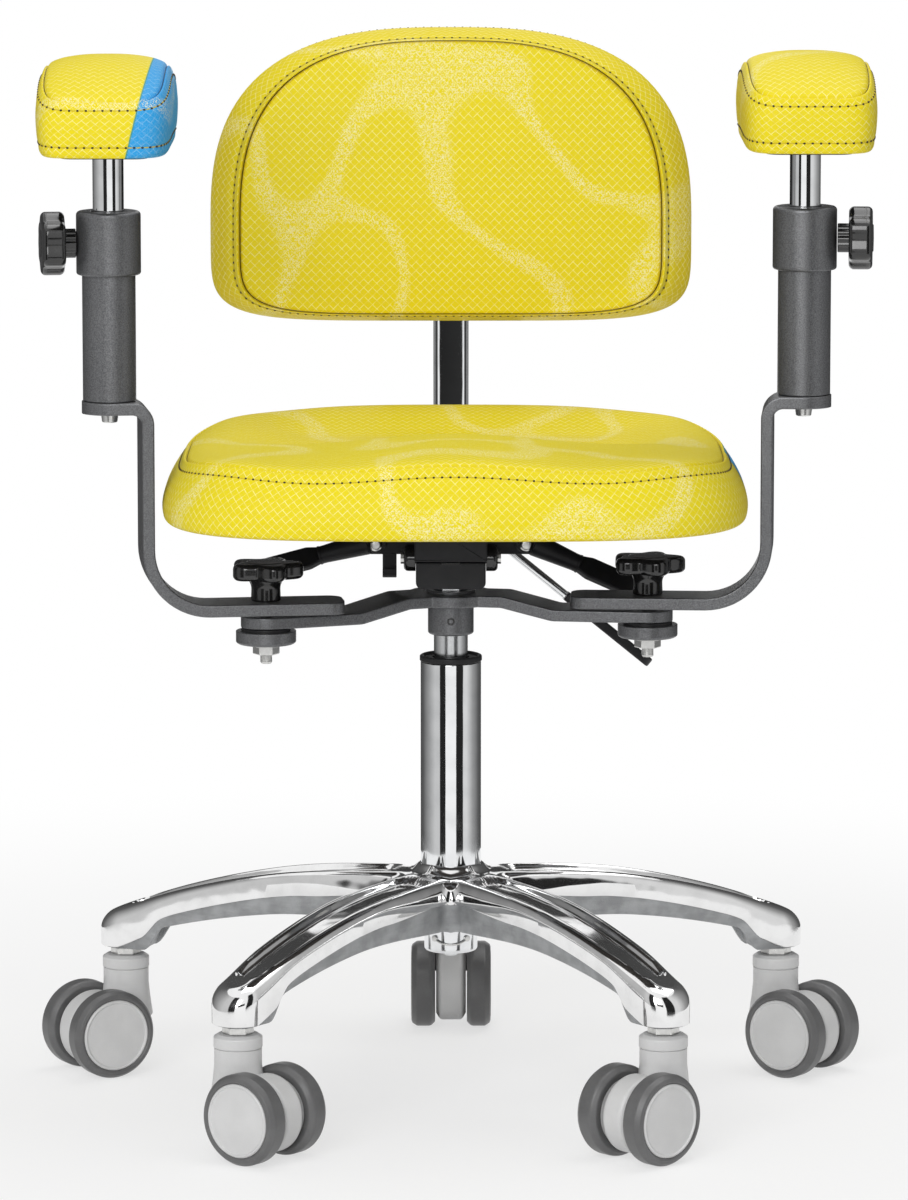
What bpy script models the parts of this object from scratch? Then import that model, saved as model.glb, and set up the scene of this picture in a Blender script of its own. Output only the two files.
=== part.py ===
"""Laboratory chair: five-star base on twin casters, gas column, swinging arm rests, contoured seat and back.

Metres, +Z up. The origin is on the floor under the column's axis and the sitter faces -Y.
"""

import math

import bmesh
import bpy
from mathutils import Euler, Matrix, Vector

# Clearances
FIT = 0.0003  # between faces that seat on each other
RUN = 0.0005  # round a piece that turns or slides
WELL = 0.0015  # round a caster wheel

# Casters
WHEEL_D = 0.075
WHEEL_W = 0.021
WHEEL_SPACING = 0.048
WHEEL_DISC_D = 0.059
TYRE_ROUND = 0.005
DISC_RECESS = 0.0012
DISC_LIP = 0.001
HOOD_D = 0.063  # body between the wheels
CASTER_TRAIL = 0.0275
CASTER_HEIGHT = 0.105  # floor to the underside of a base arm's end
NECK_D = 0.038
NECK_ABOVE_AXLE = 0.018
NECK_GROOVE = 0.0008
NECK_GROOVE_H = 0.002
NECK_CAP_H = 0.011
HEX_FLATS = 0.022
HEX_H = 0.006
STEM_D = 0.011
STEM_IN_LEG = 0.018
STEM_IN_NECK = 0.020
AXLE_D = 0.008
AXLE_IN_WHEEL = 0.015

# Base: one arm points straight back, and each caster has the heading seen in the photo
LEG_COUNT = 5
FIRST_LEG_DEG = 90.0
CASTER_HEADINGS_DEG = (270.0, 211.0, -38.6, 224.0, -37.5)
STEM_CIRCLE_R = 0.2875
LEG_TIP_W = 0.042
LEG_ROOT_W = 0.054
LEG_ROOT_DEPTH = 0.047
LEG_END_DEPTH = 0.026
LEG_WALL = 0.0045
LEG_RISE = 0.083  # leg end's underside to the top of the hub
LEG_FALL = 0.047  # hub to the middle of the leg's end, along the top
LEG_GROOVE = 0.005
LEG_EDGE_DROP = 0.006
LEG_TIP_ROUND = 0.007
LEG_IN_HUB = 0.009
LEG_BELOW_HUB = 0.001
LEG_GROOVE_FADE = 0.060  # over which the groove runs out before the end boss
LEG_BOSS_LEAD = 0.004  # end boss ahead of its round
LEG_BOSS_STEP = 0.010
LEG_BOSS_RECESS = 0.0008
HUB_D = 0.080
HUB_NECK_D = 0.058
HUB_FILLET = 0.012
HUB_H = 0.051
HUB_CHAMFER_H = 0.010
HUB_CHAMFER_W = 0.006

# Column and gas spring
COLUMN_D = 0.050
COLUMN_FOOT_D = 0.045
COLUMN_EXPOSED = 0.173
COLUMN_FOOT_BELOW = 0.020
COLUMN_WALL = 0.0025
COLUMN_FLOOR = 0.007
FOOT_CHAMFER = 0.004
BUSH_FLANGE_H = 0.005
BUSH_DEPTH = 0.022
BUSH_WALL_GAP = 0.002  # the tube's wall left round the bush
BUSH_CHAMFER = 0.001
CYLINDER_D = 0.028
CYLINDER_EXPOSED = 0.0185
CYLINDER_BORE = 0.022
CYLINDER_LIP_H = 0.008
CYLINDER_CROWN = 0.021
CYLINDER_ABOVE_PISTON = 0.073
ROD_D = 0.010
PISTON_D = 0.021
PISTON_H = 0.006
ROD_FLANGE_D = 0.018
ROD_FLANGE_H = 0.003
CYLINDER_REST_GAP = 0.018  # lowest point of the cylinder above the rod's flange
BEARING_D = 0.030
BEARING_H = 0.007
ROD_TAIL = 0.002
PIN_D = 0.007
PIN_DEPTH = 0.013
PIN_PROUD = 0.006
PIN_TRAVEL = 0.004

# Arm crossbar: two halves swept forward, turned as a whole on the column as in the photo
YOKE_TURN_DEG = 6.5
YOKE_SWEEP_DEG = 17.0
YOKE_PLATE = 0.0095
YOKE_W = 0.046
YOKE_END_ROUND = 0.0205
YOKE_HUB_D = 0.070
YOKE_DROP = 0.010
YOKE_FLAT = 0.046  # hub's middle to the start of the slope
YOKE_SLOPE = 0.042
YOKE_BEND_R = 0.018
YOKE_BOSS_D = 0.040
YOKE_BOSS_H = 0.0017
YOKE_COLLAR_D = 0.0376
YOKE_COLLAR_H = 0.0245

# Arm bars
ARM_SWING_LEFT_DEG = 8.0
ARM_SWING_RIGHT_DEG = 4.0
ARM_PLATE = 0.010
ARM_W = 0.045
ARM_TAIL = 0.063
ARM_TAIL_ROUND = 0.012
ARM_OUT = 0.097  # pivot to the middle of the upright
ARM_RISE = 0.1655
ARM_LOWER_R = 0.045
ARM_UPPER_R = 0.008
ARM_POST_OUT = 0.029  # upright to the post's axis
ARM_SEAT_GAP = 0.0115  # seat's widest point to the upright

# Arm clamp: star knob, stud, nut and disc
STUD_D = 0.010
STUD_BELOW = 0.0075
STUD_IN_KNOB = 0.014
NUT_FLATS = 0.019
NUT_H = 0.0085
CLAMP_DISC_D = 0.049
CLAMP_DISC_H = 0.011
CLAMP_BOSS_D = 0.040
CLAMP_BOSS_H = 0.0027
STAR_D = 0.061
STAR_LOBES = 5
STAR_LOBE_DEPTH = 0.0085
STAR_H = 0.014
STAR_EDGE = 0.004
STAR_HUB_D = 0.025
STAR_HUB_H = 0.018

# Arm posts
POST_D = 0.043
POST_L = 0.1015
POST_FLOOR = 0.006
POST_COLLAR_D = 0.052
POST_COLLAR_H = 0.0515
POST_STUD_D = 0.010
POST_STUD_BELOW = 0.008
HEIGHT_ROD_D = 0.025
HEIGHT_ROD_EXPOSED = 0.047
HEIGHT_ROD_IN = 0.106
CLAMP_KNOB_D = 0.051
CLAMP_KNOB_LOBES = 6
CLAMP_KNOB_DEPTH = 0.0035
CLAMP_KNOB_H = 0.020
CLAMP_KNOB_EDGE = 0.004
CLAMP_HUB_D = 0.023
CLAMP_HUB_H = 0.008
CLAMP_SCREW_D = 0.008

# Arm pads
PAD_PLATE_W = 0.070
PAD_PLATE_L = 0.150
PAD_PLATE_H = 0.005
PAD_PLATE_ROUND = 0.012
PAD_W = 0.107
PAD_L = 0.220
PAD_END_H = 0.040
PAD_CROWN = 0.031
PAD_TOP_INSET = 0.0045
PAD_PANEL_INSET = 0.020
PAD_UNDER_INSET = 0.003
PAD_SIDE_BULGE = 0.001
PAD_POWER = 5.5

# Tilt mechanism
HOUSING_GAP = 0.0045  # crossbar to the housing
HOUSING_W = 0.057
HOUSING_FRONT = 0.048
HOUSING_BACK = 0.078
HOUSING_H = 0.0297
CYLINDER_IN_HOUSING = 0.0238
HOUSING_ROUND = 0.0025
TILT_BLOCK_W = 0.040
TILT_BLOCK_L = 0.076
TILT_BLOCK_H = 0.012
TILT_BLOCK_BELOW = 0.0247  # seam to the block's root in the housing
TILT_AXLE_D = 0.010
TILT_AXLE_FORWARD = 0.024
TILT_AXLE_BELOW_SEAM = 0.003
TILT_AXLE_PROUD = 0.002
TILT_RELIEF_DEG = 9.0
CRADLE_W = 0.059
CRADLE_BACK = 0.090
CRADLE_H = 0.035
CRADLE_ROOF = 0.011
CRADLE_WALL = 0.0035
CRADLE_END_WALL = 0.008
CRADLE_BACK_WALL = 0.004
CRADLE_ROUND = 0.002
EAR_D = 0.022
EAR_T = 0.010
WING_REACH = 0.072
WING_DEPTH = 0.044
WING_T = 0.006
WING_AT = 0.033
HOOK_W = 0.012
HOOK_H = 0.018
HOOK_T = 0.004
HOOK_AT = 0.044

# Levers on the mechanism
LEVER_BOLT_X = 0.062
LEVER_BOLT_BELOW = 0.031
LEVER_SLEEVE_START = 0.007
LEVER_SLEEVE_L = 0.042
LEVER_SLEEVE_D = 0.020
LEVER_SLEEVE_END_D = 0.015
LEVER_PADDLE_L = 0.050
LEVER_PADDLE_W = 0.019
LEVER_PADDLE_T = 0.007
LEVER_PADDLE_LAP = 0.006
LEVER_NECK_W = 0.0105
LEVER_BELLY_AT = 0.025
LEVER_BELLY_R = 0.020
LEVER_TIP_W = 0.017
LEVER_TIP_R = 0.0075
LEVER_EDGE = 0.002
TILT_LEVER_DEG = 15.0
BACK_LEVER_DEG = 24.0
LIFT_ROD_D = 0.007
LIFT_ROD_L = 0.106
LIFT_ROD_DEG = 39.5
LIFT_AT = 0.062
LIFT_BELOW = 0.029
LIFT_BACK_DEG = 8.0
LIFT_HANDLE_L = 0.092
LIFT_HANDLE_W = 0.017
LIFT_HANDLE_T = 0.008
LIFT_HANDLE_LAP = 0.020
LIFT_HANDLE_ROOT_W = 0.0128
LIFT_HANDLE_ROOT_R = 0.003
LIFT_HANDLE_BELLY_AT = 0.055
LIFT_HANDLE_BELLY_R = 0.030
LIFT_HANDLE_TIP_W = 0.012
LIFT_HANDLE_TIP_R = 0.005
LIFT_HANDLE_EDGE = 0.0016

# Seat
SEAT_SHIFT = 0.0035  # the seat sits a little to the right on its board
SEAT_HALF_W = 0.237
SEAT_HALF_L = 0.212
SEAT_BACK_SHIFT = -0.008
SEAT_POWER = 3.2
SEAT_SIDE_H = 0.047
SEAT_FRONT_RISE = 0.008
SEAT_REAR_RISE = 0.015
SEAT_CROWN = 0.014
SEAT_FRONT_AT = 0.120  # pommel and thigh hollows ahead of the middle
SEAT_FRONT_SPREAD = 0.120
SEAT_POMMEL = 0.004
SEAT_POMMEL_SPREAD = 0.066
SEAT_THIGH = 0.0035
SEAT_THIGH_AT = 0.1185
SEAT_THIGH_SPREAD = 0.057
SEAT_BOWL = 0.018
SEAT_BOWL_AT = 0.070
SEAT_BOWL_SPREAD_X = 0.130
SEAT_BOWL_SPREAD_Y = 0.060
SEAT_BULGE = 0.0005
SEAT_LEAN = 0.0055  # the side draws in by this towards the seam
SEAT_EDGE_INSET = 0.001
SEAT_SEAM_INSET = 0.015
SEAT_PANEL_INSET = 0.034
SEAT_UNDER_INSET = 0.009
SEAT_BOARD_H = 0.010
SEAT_BOARD_INSET = 0.028

# Back
BACK_BAR_W = 0.030
BACK_BAR_T = 0.008
BACK_BAR_REACH = 0.252  # column's axis to the upright's middle
BACK_BAR_TOP = 0.320  # above the seat's underside
BACK_BAR_BEND_R = 0.030
BACK_HINGE_BEHIND = 0.012
BACK_HINGE_BELOW = 0.019
BACK_EYE_D = 0.020
BACK_PIN_D = 0.008
BACK_LUG_T = 0.007
BACK_LUG_UP = 0.009
BACK_LUG_DOWN = 0.010
BRACKET_WALL = 0.004
BRACKET_EDGE = 0.0016
BRACKET_H = 0.080
BRACKET_UP = 0.040  # back's lower edge to the bracket
BACK_UP = 0.1305  # seat's underside to the back's lower edge
BACK_HALF_W = 0.2040
BACK_WIDE_UP = 0.079
BACK_ARCH = 0.169
BACK_LOWER_POWER = 5.5
BACK_UPPER_POWER = 2.75
BACK_DEPTH = 0.046
BACK_CROWN = 0.010
BACK_CROWN_UP = 0.034  # widest height to the crown
BACK_EDGE_T = 0.008
BACK_SIDE_T = 0.018
BACK_PIPING_IN = 0.004
BACK_SIDE_SLOPE = 0.034
BACK_TOP_SLOPE = 0.012
BACK_LOW_SLOPE = 0.010
BACK_BOARD_T = 0.008
BACK_BOARD_INSET = 0.014
BACK_BOARD_EDGE = 0.002

# Facets
TURN_STEPS = 18
WHEEL_STEPS = 18
FORK_STEPS = 14
SMALL_STEPS = 10
ARC_STEPS = 3
BEND_STEPS = 5
LEG_STATIONS = 5
HEX_SIDES = 6
CUSHION_POINTS = 24
PAD_POINTS = 20
SEAM_CREASE = 0.5
CUT_PAST = 0.005  # how far a cutter runs past a face

# Heights, from the floor up
LEG_END_Z = CASTER_HEIGHT
HUB_TOP_Z = LEG_END_Z + LEG_RISE
HUB_LOW_Z = HUB_TOP_Z - HUB_H
COLUMN_LOW_Z = HUB_LOW_Z - COLUMN_FOOT_BELOW
COLUMN_FLOOR_Z = COLUMN_LOW_Z + COLUMN_FLOOR
COLUMN_TOP_Z = HUB_TOP_Z + FIT + COLUMN_EXPOSED
BUSH_TOP_Z = COLUMN_TOP_Z + FIT + BUSH_FLANGE_H
BEARING_TOP_Z = COLUMN_FLOOR_Z + FIT + BEARING_H
ROD_FLANGE_Z = BEARING_TOP_Z + FIT
COLLAR_LOW_Z = BUSH_TOP_Z + CYLINDER_EXPOSED
YOKE_LOW_Z = COLLAR_LOW_Z + YOKE_COLLAR_H
YOKE_TOP_Z = YOKE_LOW_Z + YOKE_PLATE
YOKE_END_Z = YOKE_TOP_Z - YOKE_DROP
ARM_LOW_Z = YOKE_END_Z + YOKE_BOSS_H + FIT
ARM_TOP_Z = ARM_LOW_Z + ARM_PLATE
FLANGE_Z = ARM_LOW_Z + ARM_RISE
POST_LOW_Z = FLANGE_Z + ARM_PLATE + FIT
COLLAR_Z = POST_LOW_Z + POST_L
POST_TOP_Z = COLLAR_Z + POST_COLLAR_H
PAD_PLATE_Z = POST_TOP_Z + HEIGHT_ROD_EXPOSED + FIT
PAD_Z = PAD_PLATE_Z + PAD_PLATE_H + FIT
HOUSING_Z = YOKE_TOP_Z + HOUSING_GAP
SEAM_Z = HOUSING_Z + HOUSING_H
CRADLE_Z = SEAM_Z + FIT
SEAT_Z = CRADLE_Z + CRADLE_H + FIT
CYLINDER_TOP_Z = HOUSING_Z + CYLINDER_IN_HOUSING
CYLINDER_LOW_Z = ROD_FLANGE_Z + ROD_FLANGE_H + CYLINDER_REST_GAP
TILT_AXLE_Z = SEAM_Z - TILT_AXLE_BELOW_SEAM
BACK_Z = SEAT_Z + BACK_UP
BACK_HINGE_Z = SEAT_Z - BACK_HINGE_BELOW
BACK_HINGE_Y = CRADLE_BACK + BACK_HINGE_BEHIND
BACK_BAR_FRONT_Y = BACK_BAR_REACH - BACK_BAR_T / 2
BRACKET_FRONT_Y = BACK_BAR_FRONT_Y - RUN - BRACKET_WALL
BACK_BOARD_Y = BRACKET_FRONT_Y - FIT - BACK_BOARD_T
BACK_REAR_Y = BACK_BOARD_Y - FIT

# Places in plan
WHEEL_R = WHEEL_D / 2
AXLE_Z = WHEEL_R * math.cos(math.pi / WHEEL_STEPS)
WHEEL_INNER = (WHEEL_SPACING - WHEEL_W) / 2
WHEEL_OUTER = (WHEEL_SPACING + WHEEL_W) / 2
PIVOT_X = SEAT_HALF_W + ARM_SEAT_GAP + ARM_PLATE / 2 - ARM_OUT
YOKE_ARM_L = PIVOT_X / math.cos(math.radians(YOKE_SWEEP_DEG))
POST_OUT = ARM_OUT + ARM_POST_OUT

PARTS = bpy.data.collections.new("laboratory_chair")
CUTTERS = bpy.data.collections.new("cutters")


def finish(name, colour, roughness, metallic):
    """A Principled material of one colour."""
    material = bpy.data.materials.new(name)
    material.use_nodes = True
    shader = material.node_tree.nodes["Principled BSDF"]
    shader.inputs["Base Color"].default_value = (*colour, 1.0)
    shader.inputs["Roughness"].default_value = roughness
    shader.inputs["Metallic"].default_value = metallic
    return material


def make_finishes():
    """The chair's materials, by name."""
    looks = {
        "polished_aluminium": ((0.82, 0.82, 0.83), 0.10, 1.0),
        "chrome": ((0.80, 0.81, 0.82), 0.06, 1.0),
        "brushed_steel": ((0.62, 0.63, 0.64), 0.30, 1.0),
        "zinc": ((0.66, 0.67, 0.68), 0.35, 1.0),
        "powder_coat": ((0.075, 0.077, 0.080), 0.55, 0.0),
        "gloss_black": ((0.010, 0.010, 0.011), 0.12, 0.0),
        "black_plastic": ((0.018, 0.018, 0.019), 0.38, 0.0),
        "caster_grey": ((0.62, 0.63, 0.64), 0.45, 0.0),
        "tyre_grey": ((0.13, 0.13, 0.14), 0.60, 0.0),
        "yellow_vinyl": ((0.86, 0.72, 0.02), 0.45, 0.0),
        "plywood": ((0.45, 0.30, 0.17), 0.70, 0.0),
    }
    return {name: finish(name, *values) for name, values in looks.items()}


def settled(tool):
    """The evaluated mesh of a helper object, welded and facing outwards; the helper is removed."""
    bpy.context.view_layer.update()
    graph = bpy.context.evaluated_depsgraph_get()
    mesh = bpy.data.meshes.new_from_object(tool.evaluated_get(graph))
    for child in list(tool.children):
        bpy.data.objects.remove(child)
    bpy.data.objects.remove(tool)
    work = bmesh.new()
    work.from_mesh(mesh)
    bmesh.ops.remove_doubles(work, verts=work.verts, dist=1e-6)
    bmesh.ops.recalc_face_normals(work, faces=work.faces)
    work.to_mesh(mesh)
    work.free()
    mesh.shade_smooth()
    mesh.set_sharp_from_angle(angle=math.radians(35))
    return mesh


def helper(name, data):
    """A scratch object that the render leaves out."""
    tool = bpy.data.objects.new(name, data)
    CUTTERS.objects.link(tool)
    tool.hide_render = True
    tool.display_type = "WIRE"
    return tool


def turned(name, profile, steps=TURN_STEPS):
    """A profile of (radius, height) points, listed down its outer side, turned about Z."""
    mesh = bpy.data.meshes.new(name)
    edges = [(i, i + 1) for i in range(len(profile) - 1)]
    if profile[0][0] > 0:
        edges.append((len(profile) - 1, 0))
    mesh.from_pydata([(radius, 0.0, height) for radius, height in profile], edges, [])
    tool = helper(name, mesh)
    screw = tool.modifiers.new("turn", "SCREW")
    screw.steps = steps
    screw.render_steps = steps
    screw.use_merge_vertices = True
    screw.merge_threshold = 0.00001
    return settled(tool)


def cylinder(name, radius, low, high, steps=TURN_STEPS, end_radius=None):
    """A cylinder or cone along Z between two heights; end_radius is the upper one."""
    mesh = bpy.data.meshes.new(name)
    work = bmesh.new()
    bmesh.ops.create_cone(
        work,
        cap_ends=True,
        segments=steps,
        radius1=radius,
        radius2=radius if end_radius is None else end_radius,
        depth=high - low,
        matrix=Matrix.Translation((0.0, 0.0, (low + high) / 2)),
    )
    work.to_mesh(mesh)
    work.free()
    mesh.shade_smooth()
    mesh.set_sharp_from_angle(angle=math.radians(35))
    return mesh


def box(name, low, high):
    """A box between two corners."""
    size = Vector(high) - Vector(low)
    middle = (Vector(high) + Vector(low)) / 2
    mesh = bpy.data.meshes.new(name)
    work = bmesh.new()
    bmesh.ops.create_cube(work, size=1.0, matrix=Matrix.Translation(middle) @ Matrix.Diagonal((*size, 1.0)))
    work.to_mesh(mesh)
    work.free()
    return mesh


def rounded(corners, steps=ARC_STEPS):
    """A closed outline through (x, y, radius) corners, with an arc at each rounded one."""
    outline = []
    for i, (x, y, radius) in enumerate(corners):
        corner = Vector((x, y))
        if radius == 0:
            outline.append((x, y))
            continue
        back = (Vector(corners[i - 1][:2]) - corner).normalized()
        ahead = (Vector(corners[(i + 1) % len(corners)][:2]) - corner).normalized()
        half = back.angle(ahead) / 2
        centre = corner + (back + ahead).normalized() * radius / math.sin(half)
        start = corner + back * radius / math.tan(half) - centre
        side = math.copysign(1.0, ahead.x * back.y - ahead.y * back.x)
        for step in range(steps + 1):
            angle = side * (math.pi - 2 * half) * step / steps
            outline.append(tuple(centre + Matrix.Rotation(angle, 2) @ start))
    return outline


def plate(name, outline, thickness):
    """A flat outline in XY, as thick as stated about Z = 0."""
    curve = bpy.data.curves.new(name, "CURVE")
    curve.dimensions = "2D"
    curve.fill_mode = "BOTH"
    curve.extrude = thickness / 2
    spline = curve.splines.new("POLY")
    spline.points.add(len(outline) - 1)
    for point, (x, y) in zip(spline.points, outline):
        point.co = (x, y, 0.0, 1.0)
    spline.use_cyclic_u = True
    return settled(helper(name, curve))


def lobed(name, diameter, lobes, depth, thickness, points_per_lobe=6):
    """A knob's scalloped outline, as thick as stated about Z = 0."""
    count = lobes * points_per_lobe
    outline = []
    for i in range(count):
        angle = 2 * math.pi * i / count
        radius = diameter / 2 - depth * (1 - math.cos(lobes * angle)) / 2
        outline.append((radius * math.cos(angle), radius * math.sin(angle)))
    return plate(name, outline, thickness)


def loft(name, sections, crease_at=(), crease=0.0, strips=False):
    """A closed skin over rings of equal point count; strips close the last ring from side to side."""
    mesh = bpy.data.meshes.new(name)
    work = bmesh.new()
    layer = work.edges.layers.float.new("crease_edge")
    rings = [[work.verts.new(point) for point in section] for section in sections]
    count = len(sections[0])
    for lower, upper in zip(rings, rings[1:]):
        for i in range(count):
            j = (i + 1) % count
            work.faces.new((lower[i], lower[j], upper[j], upper[i]))
    work.faces.new(rings[0])
    last = rings[-1]
    if strips:
        top = count // 4
        for i in range(count // 2 - 1):
            work.faces.new((last[top - i - 1], last[top - i - 2], last[top + i + 1], last[top + i]))
    else:
        work.faces.new(last)
    for index in crease_at:
        ring = rings[index]
        for i in range(count):
            work.edges.get((ring[i], ring[(i + 1) % count]))[layer] = crease
    bmesh.ops.recalc_face_normals(work, faces=work.faces)
    work.to_mesh(mesh)
    work.free()
    mesh.shade_smooth()
    return mesh


def place(name, mesh, material, parent=None, location=(0.0, 0.0, 0.0), rotation=(0.0, 0.0, 0.0)):
    """A part of the chair, placed under its parent."""
    obj = bpy.data.objects.new(name, mesh)
    PARTS.objects.link(obj)
    if not mesh.materials:
        mesh.materials.append(material)
    obj.parent = parent
    obj.location = location
    obj.rotation_euler = rotation
    return obj


def pivot(name, location, parent=None, turn_deg=0.0):
    """An empty on a joint's axis."""
    empty = bpy.data.objects.new(name, None)
    PARTS.objects.link(empty)
    empty.parent = parent
    empty.location = location
    empty.rotation_euler = (0.0, 0.0, math.radians(turn_deg))
    return empty


def work_with(operation, obj, mesh, location, rotation):
    """A Boolean of an object with a helper placed in the object's own frame."""
    tool = helper(f"{obj.name}_{operation.lower()}_{len(obj.modifiers)}", mesh)
    tool.parent = obj
    tool.location = location
    tool.rotation_euler = rotation
    boolean = obj.modifiers.new(operation.lower(), "BOOLEAN")
    boolean.operation = operation
    boolean.solver = "EXACT"
    boolean.object = tool


def carve(obj, mesh, location=(0.0, 0.0, 0.0), rotation=(0.0, 0.0, 0.0)):
    """Cuts a shape out of an object."""
    work_with("DIFFERENCE", obj, mesh, location, rotation)


def fuse(obj, mesh, location=(0.0, 0.0, 0.0), rotation=(0.0, 0.0, 0.0)):
    """Joins a shape to an object."""
    work_with("UNION", obj, mesh, location, rotation)


def trim(obj, mesh, location=(0.0, 0.0, 0.0), rotation=(0.0, 0.0, 0.0)):
    """Keeps what an object shares with a shape."""
    work_with("INTERSECT", obj, mesh, location, rotation)


def soften(obj, width, segments=2):
    """Rounds an object's sharp edges."""
    bevel = obj.modifiers.new("soften", "BEVEL")
    bevel.width = width
    bevel.segments = segments
    bevel.limit_method = "ANGLE"
    bevel.angle_limit = math.radians(40)


def smooth_form(obj, levels=1):
    """Turns a coarse cage into a soft form."""
    subdivide = obj.modifiers.new("form", "SUBSURF")
    subdivide.levels = levels
    subdivide.render_levels = levels


ALONG_X = (0.0, math.pi / 2, 0.0)
ALONG_Y = (-math.pi / 2, 0.0, 0.0)
STAND_UP = (math.pi / 2, 0.0, 0.0)
LIE_DOWN = (-math.pi / 2, 0.0, 0.0)


def base_leg():
    """One arm of the base along +X: an arched channel with a grooved top and a rounded solid end."""
    hub_r = HUB_D / 2
    run = STEM_CIRCLE_R - hub_r
    tip = LEG_TIP_W / 2
    boss = STEM_CIRCLE_R - tip - LEG_BOSS_LEAD
    stations = [hub_r - LEG_IN_HUB, hub_r]
    stations += [hub_r + (boss - hub_r) * i / LEG_STATIONS for i in range(1, LEG_STATIONS + 1)]
    stations += [boss + LEG_BOSS_STEP, STEM_CIRCLE_R]
    stations += [STEM_CIRCLE_R + tip * share for share in (0.5, 0.85, 0.99)]
    sections = []
    for r in stations:
        share = max(0.0, (r - hub_r) / run)
        past = max(0.0, r - STEM_CIRCLE_R) / tip
        top = HUB_TOP_Z - LEG_BELOW_HUB - LEG_FALL * share**2 - LEG_TIP_ROUND * past**3
        half = (LEG_ROOT_W + (LEG_TIP_W - LEG_ROOT_W) * min(1.0, share)) / 2
        half *= math.sqrt(max(0.0, 1.0 - past**2))
        groove = LEG_GROOVE * min(1.0, max(0.0, (boss - r) / LEG_GROOVE_FADE))
        if r > boss + LEG_BOSS_STEP / 2:
            low = LEG_END_Z
            roof = low + LEG_BOSS_RECESS
        else:
            low = top - LEG_ROOT_DEPTH + (LEG_ROOT_DEPTH - LEG_END_DEPTH) * share
            roof = top - groove - LEG_WALL
        sections.append([(r, y, z) for y, z in leg_section(half, top, groove, low, roof)])
    return loft("base_leg", sections)


def leg_section(half, top, groove, low, roof):
    """Points (y, z) round a base arm: grooved top between two ridges, drafted sides, hollow underside."""
    slope = min(LEG_EDGE_DROP, half * 0.4)
    wall = min(LEG_WALL, half * 0.4)
    foot = half * 0.97
    right = [(half * 0.45, top - groove * 0.55), (half * 0.80, top), (half, top - slope)]
    right += [(foot, low), (foot - wall, low), (half * 0.90 - wall, roof)]
    left = [(-y, z) for y, z in reversed(right)]
    return [(0.0, top - groove)] + right + left


def build_base(looks):
    """The cast star: a hub ring joined to five arms, with a stem hole in each arm's end."""
    bore = COLUMN_FOOT_D / 2 + FIT
    hub_r = HUB_D / 2
    neck = HUB_NECK_D / 2
    profile = [(neck, HUB_TOP_Z)]
    for i in range(1, ARC_STEPS + 2):
        angle = math.pi / 2 * i / (ARC_STEPS + 1)
        out = (hub_r - neck) * (1 - math.cos(angle))
        profile.append((neck + out, HUB_TOP_Z - HUB_FILLET * math.sin(angle)))
    profile += [(hub_r, HUB_LOW_Z + HUB_CHAMFER_H), (hub_r - HUB_CHAMFER_W, HUB_LOW_Z)]
    profile += [(bore, HUB_LOW_Z), (bore, HUB_TOP_Z)]
    base = place("star_base", turned("star_hub", profile), looks["polished_aluminium"])
    leg = base_leg()
    hole_top = LEG_END_Z + STEM_IN_LEG + FIT
    hole = cylinder("stem_hole", STEM_D / 2 + RUN, LEG_END_Z - CUT_PAST, hole_top, SMALL_STEPS)
    for angle in leg_angles():
        fuse(base, leg, rotation=(0.0, 0.0, angle))
    for angle in leg_angles():
        carve(base, hole, (STEM_CIRCLE_R * math.cos(angle), STEM_CIRCLE_R * math.sin(angle), 0.0))


def leg_angles():
    """The heading of each base arm."""
    return [math.radians(FIRST_LEG_DEG + 360.0 * i / LEG_COUNT) for i in range(LEG_COUNT)]


def caster_stem():
    """The threaded stem with its hex: up into the base arm and down into the neck."""
    hex_low = CASTER_HEIGHT - FIT - HEX_H
    tool = helper("stem", cylinder("stem_hex", HEX_FLATS / math.sqrt(3), hex_low, hex_low + HEX_H, HEX_SIDES))
    pin = cylinder("stem_pin", STEM_D / 2, hex_low - STEM_IN_NECK, CASTER_HEIGHT + STEM_IN_LEG, SMALL_STEPS)
    fuse(tool, pin)
    return settled(tool)


def caster_fork():
    """The swivelling body: a neck with a collar, cut round both wheels, a hood between them and the axle."""
    top = CASTER_HEIGHT - FIT - HEX_H - FIT
    neck = NECK_D / 2
    groove = neck - NECK_GROOVE
    line = top - NECK_CAP_H
    low = AXLE_Z + NECK_ABOVE_AXLE
    line_half = NECK_GROOVE_H / 2
    bore = STEM_D / 2 + RUN
    depth = top - STEM_IN_NECK - RUN
    profile = [(bore, top), (neck, top), (neck, line + line_half), (groove, line)]
    profile += [(neck, line - line_half), (neck, low), (0.0, low)]
    profile += [(0.0, depth), (bore, depth)]
    tool = helper("fork", turned("fork_neck", profile, FORK_STEPS))
    hood_half = WHEEL_INNER - RUN
    hood = cylinder("fork_hood", HOOD_D / 2, -hood_half, hood_half, FORK_STEPS)
    axle_half = WHEEL_INNER + AXLE_IN_WHEEL
    axle = cylinder("fork_axle", AXLE_D / 2, -axle_half, axle_half, SMALL_STEPS)
    well = cylinder("wheel_well", WHEEL_R + WELL, hood_half, hood_half + NECK_D, FORK_STEPS)
    middle = (CASTER_TRAIL, 0.0, AXLE_Z)
    fuse(tool, hood, middle, ALONG_Y)
    carve(tool, well, middle, ALONG_Y)
    carve(tool, well, middle, STAND_UP)
    fuse(tool, axle, middle, ALONG_Y)
    return settled(tool)


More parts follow.
